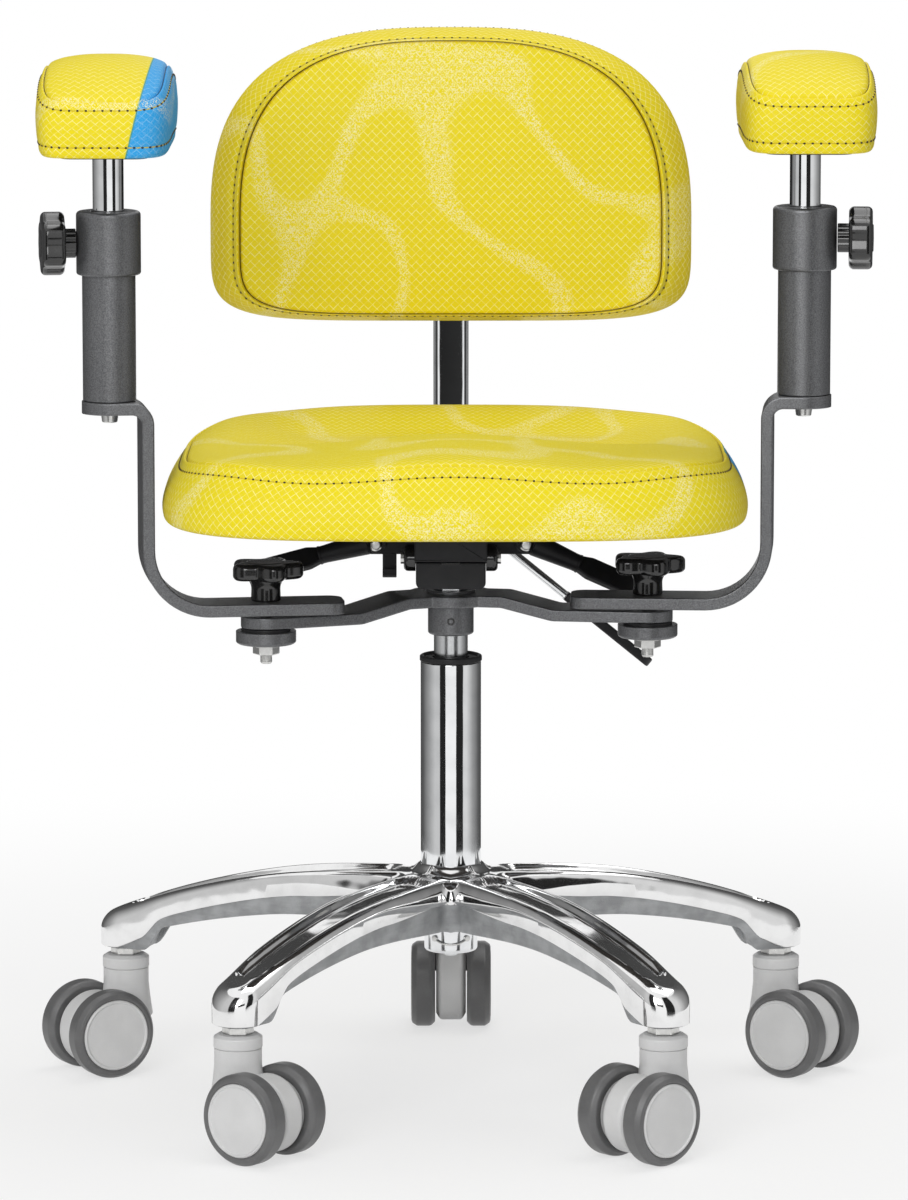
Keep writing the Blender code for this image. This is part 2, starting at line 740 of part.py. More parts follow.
def caster_wheel():
    """One wheel turned about Z, its outer face up: tyre, recessed disc and a blind axle hole."""
    half = WHEEL_W / 2
    disc = WHEEL_DISC_D / 2
    bore = AXLE_D / 2 + RUN
    blind = AXLE_IN_WHEEL + RUN - half
    profile = [(0.0, half - DISC_RECESS / 2), (disc - DISC_LIP, half - DISC_RECESS)]
    profile += [(disc + DISC_LIP, half), (WHEEL_R - TYRE_ROUND / 2, half), (WHEEL_R, half - TYRE_ROUND)]
    profile += [(WHEEL_R, TYRE_ROUND - half), (disc, -half), (bore, -half), (bore, blind), (0.0, blind)]
    return turned("wheel", profile, WHEEL_STEPS)


def build_casters(looks):
    """Five casters, each a fixed stem, a swivelling fork and two wheels that turn on its axle."""
    stem = caster_stem()
    fork = caster_fork()
    wheel = caster_wheel()
    step = 2 * math.pi / WHEEL_STEPS
    level = (math.pi + step) / 2 % step  # a flat facet of the tyre faces the floor
    for number, (angle, heading) in enumerate(zip(leg_angles(), CASTER_HEADINGS_DEG), 1):
        foot = (STEM_CIRCLE_R * math.cos(angle), STEM_CIRCLE_R * math.sin(angle), 0.0)
        swivel = pivot(f"caster_{number}_swivel", foot, turn_deg=heading)
        place(f"caster_{number}_stem", stem, looks["zinc"], location=foot)
        place(f"caster_{number}_fork", fork, looks["caster_grey"], swivel)
        for letter, side in (("a", -1), ("b", 1)):
            place(
                f"caster_{number}_wheel_{letter}",
                wheel,
                looks["tyre_grey"],
                swivel,
                (CASTER_TRAIL, side * WHEEL_SPACING / 2, AXLE_Z),
                (-side * math.pi / 2, level, 0.0),
            )


def build_column(looks):
    """The column tube with its bush and thrust bearing, and the gas spring inside."""
    outer = COLUMN_D / 2
    foot = COLUMN_FOOT_D / 2
    inner = foot - COLUMN_WALL
    rod_hole = ROD_D / 2 + RUN
    bush_seat = outer - BUSH_WALL_GAP
    bush_low = COLUMN_TOP_Z - BUSH_DEPTH
    profile = [(outer, COLUMN_TOP_Z), (outer, HUB_TOP_Z + FIT), (foot, HUB_TOP_Z + FIT)]
    profile += [(foot, COLUMN_LOW_Z + FOOT_CHAMFER), (foot - FOOT_CHAMFER, COLUMN_LOW_Z)]
    profile += [(rod_hole, COLUMN_LOW_Z), (rod_hole, COLUMN_FLOOR_Z), (inner, COLUMN_FLOOR_Z)]
    profile += [(inner, bush_low), (bush_seat, bush_low), (bush_seat, COLUMN_TOP_Z)]
    place("column_tube", turned("column_tube", profile), looks["chrome"])

    guide = CYLINDER_D / 2 + RUN
    skirt = bush_seat - FIT
    flange = COLUMN_TOP_Z + FIT
    profile = [(guide, BUSH_TOP_Z), (outer - BUSH_CHAMFER, BUSH_TOP_Z), (outer, BUSH_TOP_Z - BUSH_CHAMFER)]
    profile += [(outer, flange), (skirt, flange), (skirt, bush_low + FIT), (guide, bush_low + FIT)]
    place("column_bush", turned("column_bush", profile), looks["black_plastic"])

    low = COLUMN_FLOOR_Z + FIT
    race = BEARING_D / 2
    profile = [(rod_hole, BEARING_TOP_Z), (race, BEARING_TOP_Z), (race, low), (rod_hole, low)]
    place("thrust_bearing", turned("thrust_bearing", profile), looks["brushed_steel"])

    rod = ROD_D / 2
    top = CYLINDER_TOP_Z - CYLINDER_CROWN - CYLINDER_ABOVE_PISTON
    flange_top = ROD_FLANGE_Z + ROD_FLANGE_H
    profile = [(0.0, top), (PISTON_D / 2, top), (PISTON_D / 2, top - PISTON_H), (rod, top - PISTON_H)]
    profile += [(rod, flange_top), (ROD_FLANGE_D / 2, flange_top), (ROD_FLANGE_D / 2, ROD_FLANGE_Z)]
    tail = COLUMN_LOW_Z - ROD_TAIL
    profile += [(rod, ROD_FLANGE_Z), (rod, tail), (0.0, tail)]
    place("piston_rod", turned("piston_rod", profile, SMALL_STEPS), looks["brushed_steel"])

    body = CYLINDER_D / 2
    bore = CYLINDER_BORE / 2
    roof = CYLINDER_TOP_Z - CYLINDER_CROWN
    pin_hole = PIN_D / 2 + RUN
    pin_low = CYLINDER_TOP_Z - PIN_DEPTH
    pin_floor = pin_low - PIN_TRAVEL - RUN
    lip = CYLINDER_LOW_Z + CYLINDER_LIP_H
    profile = [(0.0, pin_floor), (pin_hole, pin_floor), (pin_hole, CYLINDER_TOP_Z), (body, CYLINDER_TOP_Z)]
    profile += [(body, CYLINDER_LOW_Z), (rod_hole, CYLINDER_LOW_Z), (rod_hole, lip), (bore, lip)]
    profile += [(bore, roof), (0.0, roof)]
    place("gas_cylinder", turned("gas_cylinder", profile), looks["brushed_steel"])

    pin = cylinder("release_pin", PIN_D / 2, pin_low, CYLINDER_TOP_Z + PIN_PROUD, SMALL_STEPS)
    place("release_pin", pin, looks["zinc"])


def yoke_half():
    """Half of the crossbar along +X: flat at the hub, stepped down and flat again under the arm's pivot."""
    end = YOKE_ARM_L + YOKE_W / 2
    low_x = YOKE_FLAT + YOKE_SLOPE
    bend = YOKE_BEND_R
    corners = [(0.0, YOKE_TOP_Z, 0), (0.0, YOKE_LOW_Z, 0), (YOKE_FLAT, YOKE_LOW_Z, bend)]
    corners += [(low_x, YOKE_END_Z - YOKE_PLATE, bend), (end, YOKE_END_Z - YOKE_PLATE, 0)]
    corners += [(end, YOKE_END_Z, 0), (low_x, YOKE_END_Z, bend), (YOKE_FLAT, YOKE_TOP_Z, bend)]
    tool = helper("yoke_half", plate("yoke_side", rounded(corners), YOKE_W))
    tool.rotation_euler = STAND_UP
    half = YOKE_W / 2 - RUN
    end_round = YOKE_END_ROUND
    corners = [(CUT_PAST, half, 0), (CUT_PAST, -half, 0), (end, -half, end_round), (end, half, end_round)]
    trim(tool, plate("yoke_plan", rounded(corners, BEND_STEPS), 4 * YOKE_TOP_Z), rotation=LIE_DOWN)
    return settled(tool)


def build_yoke(looks, turn):
    """The crossbar that carries the arms: hub, collar and two swept halves."""
    hub = cylinder("yoke_hub", YOKE_HUB_D / 2, YOKE_LOW_Z, YOKE_TOP_Z)
    yoke = place("arm_crossbar", hub, looks["powder_coat"], turn)
    half = yoke_half()
    sweep = math.radians(YOKE_SWEEP_DEG)
    boss = cylinder("yoke_boss", YOKE_BOSS_D / 2, YOKE_END_Z - YOKE_PLATE / 2, YOKE_END_Z + YOKE_BOSS_H)
    hole_r = STUD_D / 2 + FIT
    hole_low = YOKE_END_Z - YOKE_PLATE - CUT_PAST
    stud_hole = cylinder("stud_hole", hole_r, hole_low, YOKE_TOP_Z + CUT_PAST, SMALL_STEPS)
    for heading in (-sweep, math.pi + sweep):
        fuse(yoke, half, rotation=(STAND_UP[0], 0.0, heading))
    fuse(yoke, cylinder("yoke_collar", YOKE_COLLAR_D / 2, COLLAR_LOW_Z, YOKE_LOW_Z + YOKE_PLATE / 2))
    for heading in (-sweep, math.pi + sweep):
        spot = (YOKE_ARM_L * math.cos(heading), YOKE_ARM_L * math.sin(heading), 0.0)
        fuse(yoke, boss, spot)
        carve(yoke, stud_hole, spot)
    bore = CYLINDER_D / 2 + FIT
    carve(yoke, cylinder("yoke_bore", bore, COLLAR_LOW_Z - CUT_PAST, YOKE_TOP_Z + CUT_PAST))


def arm_bar():
    """A flat bar bent up into an upright and out into the post's flange, along +X from the pivot."""
    inner = ARM_OUT - ARM_PLATE / 2
    outer = ARM_OUT + ARM_PLATE / 2
    end = POST_OUT + ARM_W / 2
    flange_top = FLANGE_Z + ARM_PLATE
    corners = [(-ARM_TAIL, ARM_LOW_Z, 0), (outer, ARM_LOW_Z, ARM_LOWER_R + ARM_PLATE)]
    corners += [(outer, FLANGE_Z, ARM_UPPER_R), (end, FLANGE_Z, 0), (end, flange_top, 0)]
    corners += [(inner, flange_top, ARM_UPPER_R + ARM_PLATE)]
    corners += [(inner, ARM_TOP_Z, ARM_LOWER_R), (-ARM_TAIL, ARM_TOP_Z, 0)]
    tool = helper("arm_bar", plate("arm_side", rounded(corners, BEND_STEPS), ARM_W + 2 * CUT_PAST))
    tool.rotation_euler = STAND_UP
    half = ARM_W / 2
    tail = -ARM_TAIL + FIT
    tip = end - FIT
    corners = [(tail, half, ARM_TAIL_ROUND), (tail, -half, ARM_TAIL_ROUND)]
    corners += [(tip, -half, half - FIT), (tip, half, half - FIT)]
    trim(tool, plate("arm_plan", rounded(corners, BEND_STEPS), 4 * flange_top), rotation=LIE_DOWN)
    stud_r = STUD_D / 2 + FIT
    post_r = POST_STUD_D / 2 + FIT
    stud_hole = cylinder("arm_hole", stud_r, ARM_LOW_Z - CUT_PAST, ARM_TOP_Z + CUT_PAST, SMALL_STEPS)
    post_hole = cylinder("post_hole", post_r, FLANGE_Z - CUT_PAST, flange_top + CUT_PAST, SMALL_STEPS)
    carve(tool, stud_hole, rotation=LIE_DOWN)
    carve(tool, post_hole, (POST_OUT, 0.0, 0.0), LIE_DOWN)
    return settled(tool)


def star_knob():
    """The five-lobed hand knob on its hub, with a blind hole for the stud."""
    low = ARM_TOP_Z + FIT
    seat = low + STAR_HUB_H
    tool = helper("star_knob", lobed("star", STAR_D, STAR_LOBES, STAR_LOBE_DEPTH, STAR_H))
    soften(tool, STAR_EDGE, 1)
    middle = seat + STAR_H / 2
    drop = (0.0, 0.0, -middle)
    fuse(tool, cylinder("star_hub", STAR_HUB_D / 2, low, middle), drop)
    hole = cylinder("star_hole", STUD_D / 2 + FIT, low - CUT_PAST, low + STUD_IN_KNOB + FIT, SMALL_STEPS)
    carve(tool, hole, drop)
    mesh = settled(tool)
    mesh.transform(Matrix.Translation((0.0, 0.0, middle)))
    return mesh


def pivot_stud():
    """The clamp stud with its nut: from the knob down through arm, crossbar and disc."""
    nut_top = clamp_disc_low() - FIT
    nut = cylinder("stud_nut", NUT_FLATS / math.sqrt(3), nut_top - NUT_H, nut_top, HEX_SIDES)
    tool = helper("pivot_stud", nut)
    top = ARM_TOP_Z + FIT + STUD_IN_KNOB
    fuse(tool, cylinder("stud_rod", STUD_D / 2, nut_top - NUT_H - STUD_BELOW, top, SMALL_STEPS))
    return settled(tool)


def clamp_disc_low():
    """The underside of the clamp disc."""
    return YOKE_END_Z - YOKE_PLATE - FIT - CLAMP_BOSS_H - CLAMP_DISC_H


def clamp_disc():
    """The disc under the crossbar's end, with a raised friction ring on top."""
    low = clamp_disc_low()
    top = low + CLAMP_DISC_H
    hole = STUD_D / 2 + FIT
    rim = CLAMP_DISC_D / 2
    ring = CLAMP_BOSS_D / 2
    ring_top = top + CLAMP_BOSS_H
    profile = [(hole, ring_top), (ring, ring_top), (ring, top), (rim, top), (rim, low), (hole, low)]
    return turned("clamp_disc", profile)


def post_tube():
    """The arm post: a tube with a thicker collar on top, a rod bore, a clamp hole and a stud below."""
    wall = POST_D / 2
    collar = POST_COLLAR_D / 2
    bore = HEIGHT_ROD_D / 2 + RUN
    stud = POST_STUD_D / 2
    floor = POST_LOW_Z + POST_FLOOR
    stud_low = FLANGE_Z - POST_STUD_BELOW
    profile = [(bore, POST_TOP_Z), (collar, POST_TOP_Z), (collar, COLLAR_Z), (wall, COLLAR_Z)]
    profile += [(wall, POST_LOW_Z), (stud, POST_LOW_Z), (stud, stud_low), (0.0, stud_low)]
    profile += [(0.0, floor), (bore, floor)]
    tool = helper("post_tube", turned("post", profile))
    screw_hole = cylinder("clamp_hole", CLAMP_SCREW_D / 2 + RUN, bore / 2, collar + CUT_PAST, SMALL_STEPS)
    carve(tool, screw_hole, (0.0, 0.0, clamp_height()), ALONG_X)
    return settled(tool)


def clamp_height():
    """The height of the clamp knob's axis."""
    return COLLAR_Z + POST_COLLAR_H / 2


def clamp_knob():
    """The lobed knob that clamps the height rod, turned about Z with its screw pointing down."""
    grip = lobed("grip", CLAMP_KNOB_D, CLAMP_KNOB_LOBES, CLAMP_KNOB_DEPTH, CLAMP_KNOB_H)
    tool = helper("clamp_knob", grip)
    soften(tool, CLAMP_KNOB_EDGE, 1)
    hub_low = -CLAMP_KNOB_H / 2 - CLAMP_HUB_H
    reach = POST_COLLAR_D / 2 - HEIGHT_ROD_D / 2
    fuse(tool, cylinder("clamp_hub", CLAMP_HUB_D / 2, hub_low, 0.0, SMALL_STEPS))
    fuse(tool, cylinder("clamp_screw", CLAMP_SCREW_D / 2, hub_low - reach, hub_low / 2, SMALL_STEPS))
    return settled(tool)


def arm_pad():
    """The padded rest: drawn-in underside, bulging sides and a top panel that arches from end to end."""
    rings = []
    half_w = PAD_W / 2
    half_l = PAD_L / 2
    levels = ((-PAD_UNDER_INSET, 0.0), (PAD_SIDE_BULGE / 2, 0.20), (PAD_SIDE_BULGE, 0.70))
    levels += ((-PAD_TOP_INSET, 1.0), (-PAD_PANEL_INSET, 1.05))
    for grow, share in levels:
        ring = []
        for x, y in oval(half_w + grow, half_l + grow, PAD_POWER, PAD_POWER, PAD_POINTS):
            arch = PAD_END_H + PAD_CROWN * max(0.0, 1 - (y / half_l) ** 2)
            ring.append((x, y, PAD_Z + arch * share))
        rings.append(ring)
    return loft("arm_pad", rings, (3,), SEAM_CREASE, strips=True)


def oval(half_x, half_y, low_power, high_power, count):
    """Points of a squared oval, with one squareness below y = 0 and another above."""
    points = []
    for i in range(count):
        angle = 2 * math.pi * (i + 0.5) / count
        power = high_power if math.sin(angle) > 0 else low_power
        x = math.copysign(abs(math.cos(angle)) ** (2 / power), math.cos(angle))
        y = math.copysign(abs(math.sin(angle)) ** (2 / power), math.sin(angle))
        points.append((half_x * x, half_y * y))
    return points


def build_arms(looks, turn):
    """Both arm rests on the crossbar's ends; each swings, and its pad rises and turns."""
    sweep = math.radians(YOKE_SWEEP_DEG)
    meshes = {
        "arm_bar": (arm_bar(), "powder_coat"),
        "star_knob": (star_knob(), "gloss_black"),
        "post_tube": (post_tube(), "powder_coat"),
        "height_rod": (height_rod(), "chrome"),
        "clamp_knob": (clamp_knob(), "black_plastic"),
        "pad_plate": (pad_plate(), "black_plastic"),
        "arm_pad": (arm_pad(), "yellow_vinyl"),
        "pivot_stud": (pivot_stud(), "zinc"),
        "clamp_disc": (clamp_disc(), "powder_coat"),
    }
    sides = (
        ("left", math.pi + sweep, 180.0 + ARM_SWING_LEFT_DEG),
        ("right", -sweep, -ARM_SWING_RIGHT_DEG),
    )
    for side, heading, outward in sides:
        spot = (YOKE_ARM_L * math.cos(heading), YOKE_ARM_L * math.sin(heading), 0.0)
        swing = pivot(f"arm_swing_{side}", spot, turn, outward - YOKE_TURN_DEG)
        post = pivot(f"arm_post_{side}", (POST_OUT, 0.0, 0.0), swing, -outward)
        for piece in ("arm_bar", "star_knob"):
            mesh, look = meshes[piece]
            rotation = STAND_UP if piece == "arm_bar" else (0.0, 0.0, 0.0)
            place(f"{piece}_{side}", mesh, looks[look], swing, rotation=rotation)
        for piece in ("pivot_stud", "clamp_disc"):
            mesh, look = meshes[piece]
            place(f"{piece}_{side}", mesh, looks[look], turn, spot)
        mesh, look = meshes["post_tube"]
        place(f"post_tube_{side}", mesh, looks[look], swing, (POST_OUT, 0.0, 0.0))
        out = POST_OUT + POST_COLLAR_D / 2 + FIT + CLAMP_HUB_H + CLAMP_KNOB_H / 2
        mesh, look = meshes["clamp_knob"]
        place(f"clamp_knob_{side}", mesh, looks[look], swing, (out, 0.0, clamp_height()), ALONG_X)
        for piece in ("height_rod", "pad_plate", "arm_pad"):
            mesh, look = meshes[piece]
            obj = place(f"{piece}_{side}", mesh, looks[look], post)
            if piece == "arm_pad":
                smooth_form(obj)


def height_rod():
    """The chrome rod that carries a pad."""
    low = POST_TOP_Z - HEIGHT_ROD_IN
    return cylinder("height_rod", HEIGHT_ROD_D / 2, low, PAD_PLATE_Z - FIT)


def pad_plate():
    """The plate between rod and pad."""
    x = PAD_PLATE_W / 2
    y = PAD_PLATE_L / 2
    r = PAD_PLATE_ROUND
    mesh = plate("pad_plate", rounded([(x, y, r), (-x, y, r), (-x, -y, r), (x, -y, r)]), PAD_PLATE_H)
    mesh.transform(Matrix.Translation((0.0, 0.0, PAD_PLATE_Z + PAD_PLATE_H / 2)))
    return mesh


def build_mechanism(looks):
    """Lower housing on the gas cylinder, upper cradle under the seat, and the axle between them."""
    half = HOUSING_W / 2
    body = box("housing", (-half, -HOUSING_FRONT, HOUSING_Z), (half, HOUSING_BACK, SEAM_Z))
    housing = place("mechanism_housing", body, looks["black_plastic"])
    axle_y = -TILT_AXLE_FORWARD
    relief = box("tilt_relief", (-HOUSING_W, 0.0, 0.0), (HOUSING_W, 2 * HOUSING_BACK, HOUSING_H))
    carve(housing, relief, (0.0, axle_y, SEAM_Z), (-math.radians(TILT_RELIEF_DEG), 0.0, 0.0))
    soften(housing, HOUSING_ROUND)
    block_x = TILT_BLOCK_W / 2
    block_y = TILT_BLOCK_L / 2
    block_low = (-block_x, -block_y, SEAM_Z - TILT_BLOCK_BELOW)
    fuse(housing, box("tilt_block", block_low, (block_x, block_y, SEAM_Z + TILT_BLOCK_H)))
    bore = CYLINDER_D / 2 + FIT
    pin = PIN_D / 2 + RUN
    pin_top = CYLINDER_TOP_Z + PIN_PROUD + RUN
    profile = [(0.0, pin_top), (pin, pin_top), (pin, CYLINDER_TOP_Z + FIT), (bore, CYLINDER_TOP_Z + FIT)]
    profile += [(bore, HOUSING_Z - CUT_PAST), (0.0, HOUSING_Z - CUT_PAST)]
    carve(housing, turned("housing_bore", profile))
    axle_hole = cylinder("axle_hole", TILT_AXLE_D / 2 + RUN, -CRADLE_W, CRADLE_W, SMALL_STEPS)
    carve(housing, axle_hole, (0.0, axle_y, TILT_AXLE_Z), ALONG_X)

    tilt = pivot("seat_tilt", (0.0, axle_y, TILT_AXLE_Z))
    axle_half = ear_outer() + TILT_AXLE_PROUD
    axle = cylinder("tilt_axle", TILT_AXLE_D / 2, -axle_half, axle_half, SMALL_STEPS)
    place("tilt_axle", axle, looks["zinc"], None, (0.0, axle_y, TILT_AXLE_Z), ALONG_X)
    return tilt


def ear_outer():
    """How far the cradle's ears reach from the middle."""
    return HOUSING_W / 2 + RUN + EAR_T


def build_cradle(looks, tilt):
    """The hollow upper half: ears on the axle, wings for the levers and lugs for the back bar."""
    origin = -tilt.location
    half = CRADLE_W / 2
    body = box("cradle", (-half, -HOUSING_FRONT, CRADLE_Z), (half, CRADLE_BACK, CRADLE_Z + CRADLE_H))
    cradle = place("seat_cradle", body, looks["black_plastic"], tilt, origin)
    soften(cradle, CRADLE_ROUND, 1)
    pocket_x = half - CRADLE_WALL
    front = -HOUSING_FRONT + CRADLE_END_WALL
    back = HOUSING_BACK - CRADLE_BACK_WALL
    roof = CRADLE_Z + CRADLE_H - CRADLE_ROOF
    carve(cradle, box("cradle_pocket", (-pocket_x, front, CRADLE_Z - CUT_PAST), (pocket_x, back, roof)))
    ear_inner = HOUSING_W / 2 + RUN
    axle_hole = cylinder("ear_hole", TILT_AXLE_D / 2 + RUN, -2 * CRADLE_W, 2 * CRADLE_W, SMALL_STEPS)
    wing = box("wing", (ear_inner, 0.0, -WING_DEPTH), (WING_REACH, WING_T, 0.0))
    hook = box("hook", (-HOOK_W / 2, 0.0, -HOOK_H), (HOOK_W / 2, HOOK_T, WING_T))
    wing_top = CRADLE_Z + CRADLE_H
    for side in (-1, 1):
        low = min(side * ear_inner, side * ear_outer())
        ear = cylinder("ear", EAR_D / 2, low, low + EAR_T)
        fuse(cradle, ear, (0.0, -TILT_AXLE_FORWARD, TILT_AXLE_Z), ALONG_X)
        turn = (0.0, 0.0, math.pi if side < 0 else 0.0)
        fuse(cradle, wing, (0.0, WING_AT + (WING_T if side < 0 else 0.0), wing_top - FIT), turn)
    carve(cradle, axle_hole, (0.0, -TILT_AXLE_FORWARD, TILT_AXLE_Z), ALONG_X)
    fuse(cradle, hook, (-HOOK_AT, WING_AT - HOOK_T / 2, wing_top - WING_DEPTH))
    lug_in = BACK_BAR_W / 2 + RUN
    lug_back = BACK_HINGE_Y + BACK_EYE_D / 2
    for side in (-1, 1):
        near = min(side * lug_in, side * (lug_in + BACK_LUG_T))
        lug = box(
            "lug",
            (near, CRADLE_BACK - CRADLE_BACK_WALL, BACK_HINGE_Z - BACK_LUG_DOWN),
            (near + BACK_LUG_T, lug_back, BACK_HINGE_Z + BACK_LUG_UP),
        )
        fuse(cradle, lug)
    pin_hole = cylinder("back_pin_hole", BACK_PIN_D / 2 + RUN, -CRADLE_W, CRADLE_W, SMALL_STEPS)
    carve(cradle, pin_hole, (0.0, BACK_HINGE_Y, BACK_HINGE_Z), ALONG_X)


def clamp_lever():
    """A lever along +X from its bolt: a tapered sleeve and a flat paddle."""
    start = LEVER_SLEEVE_START
    sleeve_end = start + LEVER_SLEEVE_L
    end_r = LEVER_SLEEVE_END_D / 2
    sleeve = cylinder("sleeve", LEVER_SLEEVE_D / 2, start, sleeve_end, SMALL_STEPS, end_r)
    tool = helper("clamp_lever", sleeve)
    tool.rotation_euler = ALONG_X
    soften(tool, LEVER_EDGE)
    tip = sleeve_end + LEVER_PADDLE_L
    belly = sleeve_end + LEVER_BELLY_AT
    corners = [(sleeve_end - LEVER_PADDLE_LAP, -LEVER_NECK_W / 2, 0)]
    corners += [(belly, -LEVER_PADDLE_W / 2, LEVER_BELLY_R), (tip, -LEVER_TIP_W / 2, LEVER_TIP_R)]
    outline = corners + [(x, -y, r) for x, y, r in reversed(corners)]
    paddle = plate("paddle", rounded(outline), LEVER_PADDLE_T)
    fuse(tool, paddle, rotation=(0.0, -math.pi / 2, 0.0))
    mesh = settled(tool)
    mesh.transform(Euler(ALONG_X).to_matrix().to_4x4())
    return mesh


def build_levers(looks, tilt):
    """Two clamp levers on the cradle's wings and the lift lever with its handle."""
    mesh = clamp_lever()
    bolt_z = SEAT_Z - LEVER_BOLT_BELOW
    gap = WING_AT - LEVER_SLEEVE_D / 2 - FIT
    levers = (("tilt_lever", -1, TILT_LEVER_DEG), ("back_lever", 1, BACK_LEVER_DEG))
    for name, side, slope in levers:
        spot = Vector((side * LEVER_BOLT_X, gap, bolt_z)) - tilt.location
        turn = math.radians(slope) if side > 0 else math.pi - math.radians(slope)
        place(name, mesh, looks["black_plastic"], tilt, spot, (0.0, turn, 0.0))
    root = Vector((CRADLE_W / 2 + FIT, LIFT_AT, SEAT_Z - LIFT_BELOW)) - tilt.location
    lift = pivot("lift_lever", root, tilt)
    down = math.radians(LIFT_ROD_DEG)
    back = math.radians(LIFT_BACK_DEG)
    lift.rotation_euler = (0.0, down, back)
    rod_r = LIFT_ROD_D / 2
    slant = math.acos(math.cos(down) * math.cos(back))
    rod = cylinder("lift_rod", rod_r, rod_r * math.tan(slant), LIFT_ROD_L, SMALL_STEPS)
    place("lift_lever_rod", rod, looks["chrome"], lift, rotation=ALONG_X)
    start = LIFT_ROD_L - LIFT_HANDLE_LAP
    belly = start + LIFT_HANDLE_BELLY_AT
    tip = start + LIFT_HANDLE_L
    corners = [(start, -LIFT_HANDLE_ROOT_W / 2, LIFT_HANDLE_ROOT_R)]
    corners += [(belly, -LIFT_HANDLE_W / 2, LIFT_HANDLE_BELLY_R)]
    corners += [(tip, -LIFT_HANDLE_TIP_W / 2, LIFT_HANDLE_TIP_R)]
    outline = corners + [(x, -y, r) for x, y, r in reversed(corners)]
    grip = plate("lift_handle", rounded(outline), LIFT_HANDLE_T)
    handle = place("lift_lever_handle", grip, looks["black_plastic"], lift)
    soften(handle, LIFT_HANDLE_EDGE, 1)
    hole = cylinder("rod_hole", rod_r + FIT, start - CUT_PAST, LIFT_ROD_L + FIT, SMALL_STEPS)
    carve(handle, hole, rotation=ALONG_X)


def swell(distance, spread):
    """A smooth hump that is 1 in its middle and fades over the spread."""
    return math.exp(-((distance / spread) ** 2))


def seat_height(x, y):
    """The seat's upper surface above its underside: saddle front, thigh hollows and a rear bowl."""
    across = x / SEAT_HALF_W
    along = y / SEAT_HALF_L
    rise = SEAT_FRONT_RISE if along < 0 else SEAT_REAR_RISE
    edge = SEAT_SIDE_H + rise * along**2
    inside = max(0.0, 1.0 - max(abs(across), abs(along)) ** 4)
    front = swell(y + SEAT_FRONT_AT, SEAT_FRONT_SPREAD)
    pommel = SEAT_POMMEL * front * swell(x, SEAT_POMMEL_SPREAD)
    thigh = SEAT_THIGH * front * swell(abs(x) - SEAT_THIGH_AT, SEAT_THIGH_SPREAD)
    bowl = SEAT_BOWL * inside * swell(x, SEAT_BOWL_SPREAD_X) * swell(y - SEAT_BOWL_AT, SEAT_BOWL_SPREAD_Y)
    return edge + SEAT_CROWN * inside + pommel - thigh - bowl


def build_seat(looks, tilt):
    """The seat board and the contoured cushion that wraps it."""
    spot = Vector((SEAT_SHIFT, SEAT_BACK_SHIFT, SEAT_Z)) - tilt.location
    half_x = SEAT_HALF_W - SEAT_BOARD_INSET
    half_y = SEAT_HALF_L - SEAT_BOARD_INSET
    outline = oval(half_x, half_y, SEAT_POWER, SEAT_POWER, CUSHION_POINTS)
    board = plate("seat_board", outline, SEAT_BOARD_H)
    place("seat_board", board, looks["plywood"], tilt, spot + Vector((0.0, 0.0, SEAT_BOARD_H / 2)))
    levels = ((-SEAT_UNDER_INSET, 0.0), (-SEAT_EDGE_INSET, 0.08), (SEAT_BULGE, 0.40))
    levels += ((SEAT_BULGE - SEAT_LEAN, 0.75), (-SEAT_SEAM_INSET, 1.0), (-SEAT_PANEL_INSET, 1.0))
    rings = [seat_ring(grow, share) for grow, share in levels]
    rings += [seat_ring(-SEAT_HALF_L * share, 1.0) for share in (0.36, 0.64, 0.86)]
    form = loft("seat_cushion", rings, (4,), SEAM_CREASE)
    cushion = place("seat_cushion", form, looks["yellow_vinyl"], tilt, spot)
    smooth_form(cushion)
    gap = SEAT_BOARD_H / 2 - CUT_PAST / 2 + FIT / 2
    pocket_outline = oval(half_x + RUN, half_y + RUN, SEAT_POWER, SEAT_POWER, CUSHION_POINTS)
    pocket = plate("seat_pocket", pocket_outline, SEAT_BOARD_H + CUT_PAST + FIT)
    carve(cushion, pocket, (0.0, 0.0, gap))


def seat_ring(grow, share):
    """One ring of the seat's cage, grown from the outline and raised by a share of the local height."""
    half_x = SEAT_HALF_W + grow
    half_y = SEAT_HALF_L + grow
    ring = []
    for x, y in oval(half_x, half_y, SEAT_POWER, SEAT_POWER, CUSHION_POINTS):
        ring.append((x, y, seat_height(x, y) * share))
    return ring


def back_outline(slope_side, slope_top, slope_low):
    """The back's D-shaped outline in (x, z), drawn in by a slope at the sides, top and bottom."""
    half = BACK_HALF_W - slope_side
    points = []
    for x, z in oval(half, 1.0, BACK_LOWER_POWER, BACK_UPPER_POWER, CUSHION_POINTS):
        reach = BACK_ARCH - slope_top if z > 0 else BACK_WIDE_UP - slope_low
        points.append((x, BACK_Z + BACK_WIDE_UP + z * reach))
    return points


def back_slope(share):
    """The back's outline drawn in by a share of its slopes."""
    return back_outline(BACK_SIDE_SLOPE * share, BACK_TOP_SLOPE * share, BACK_LOW_SLOPE * share)


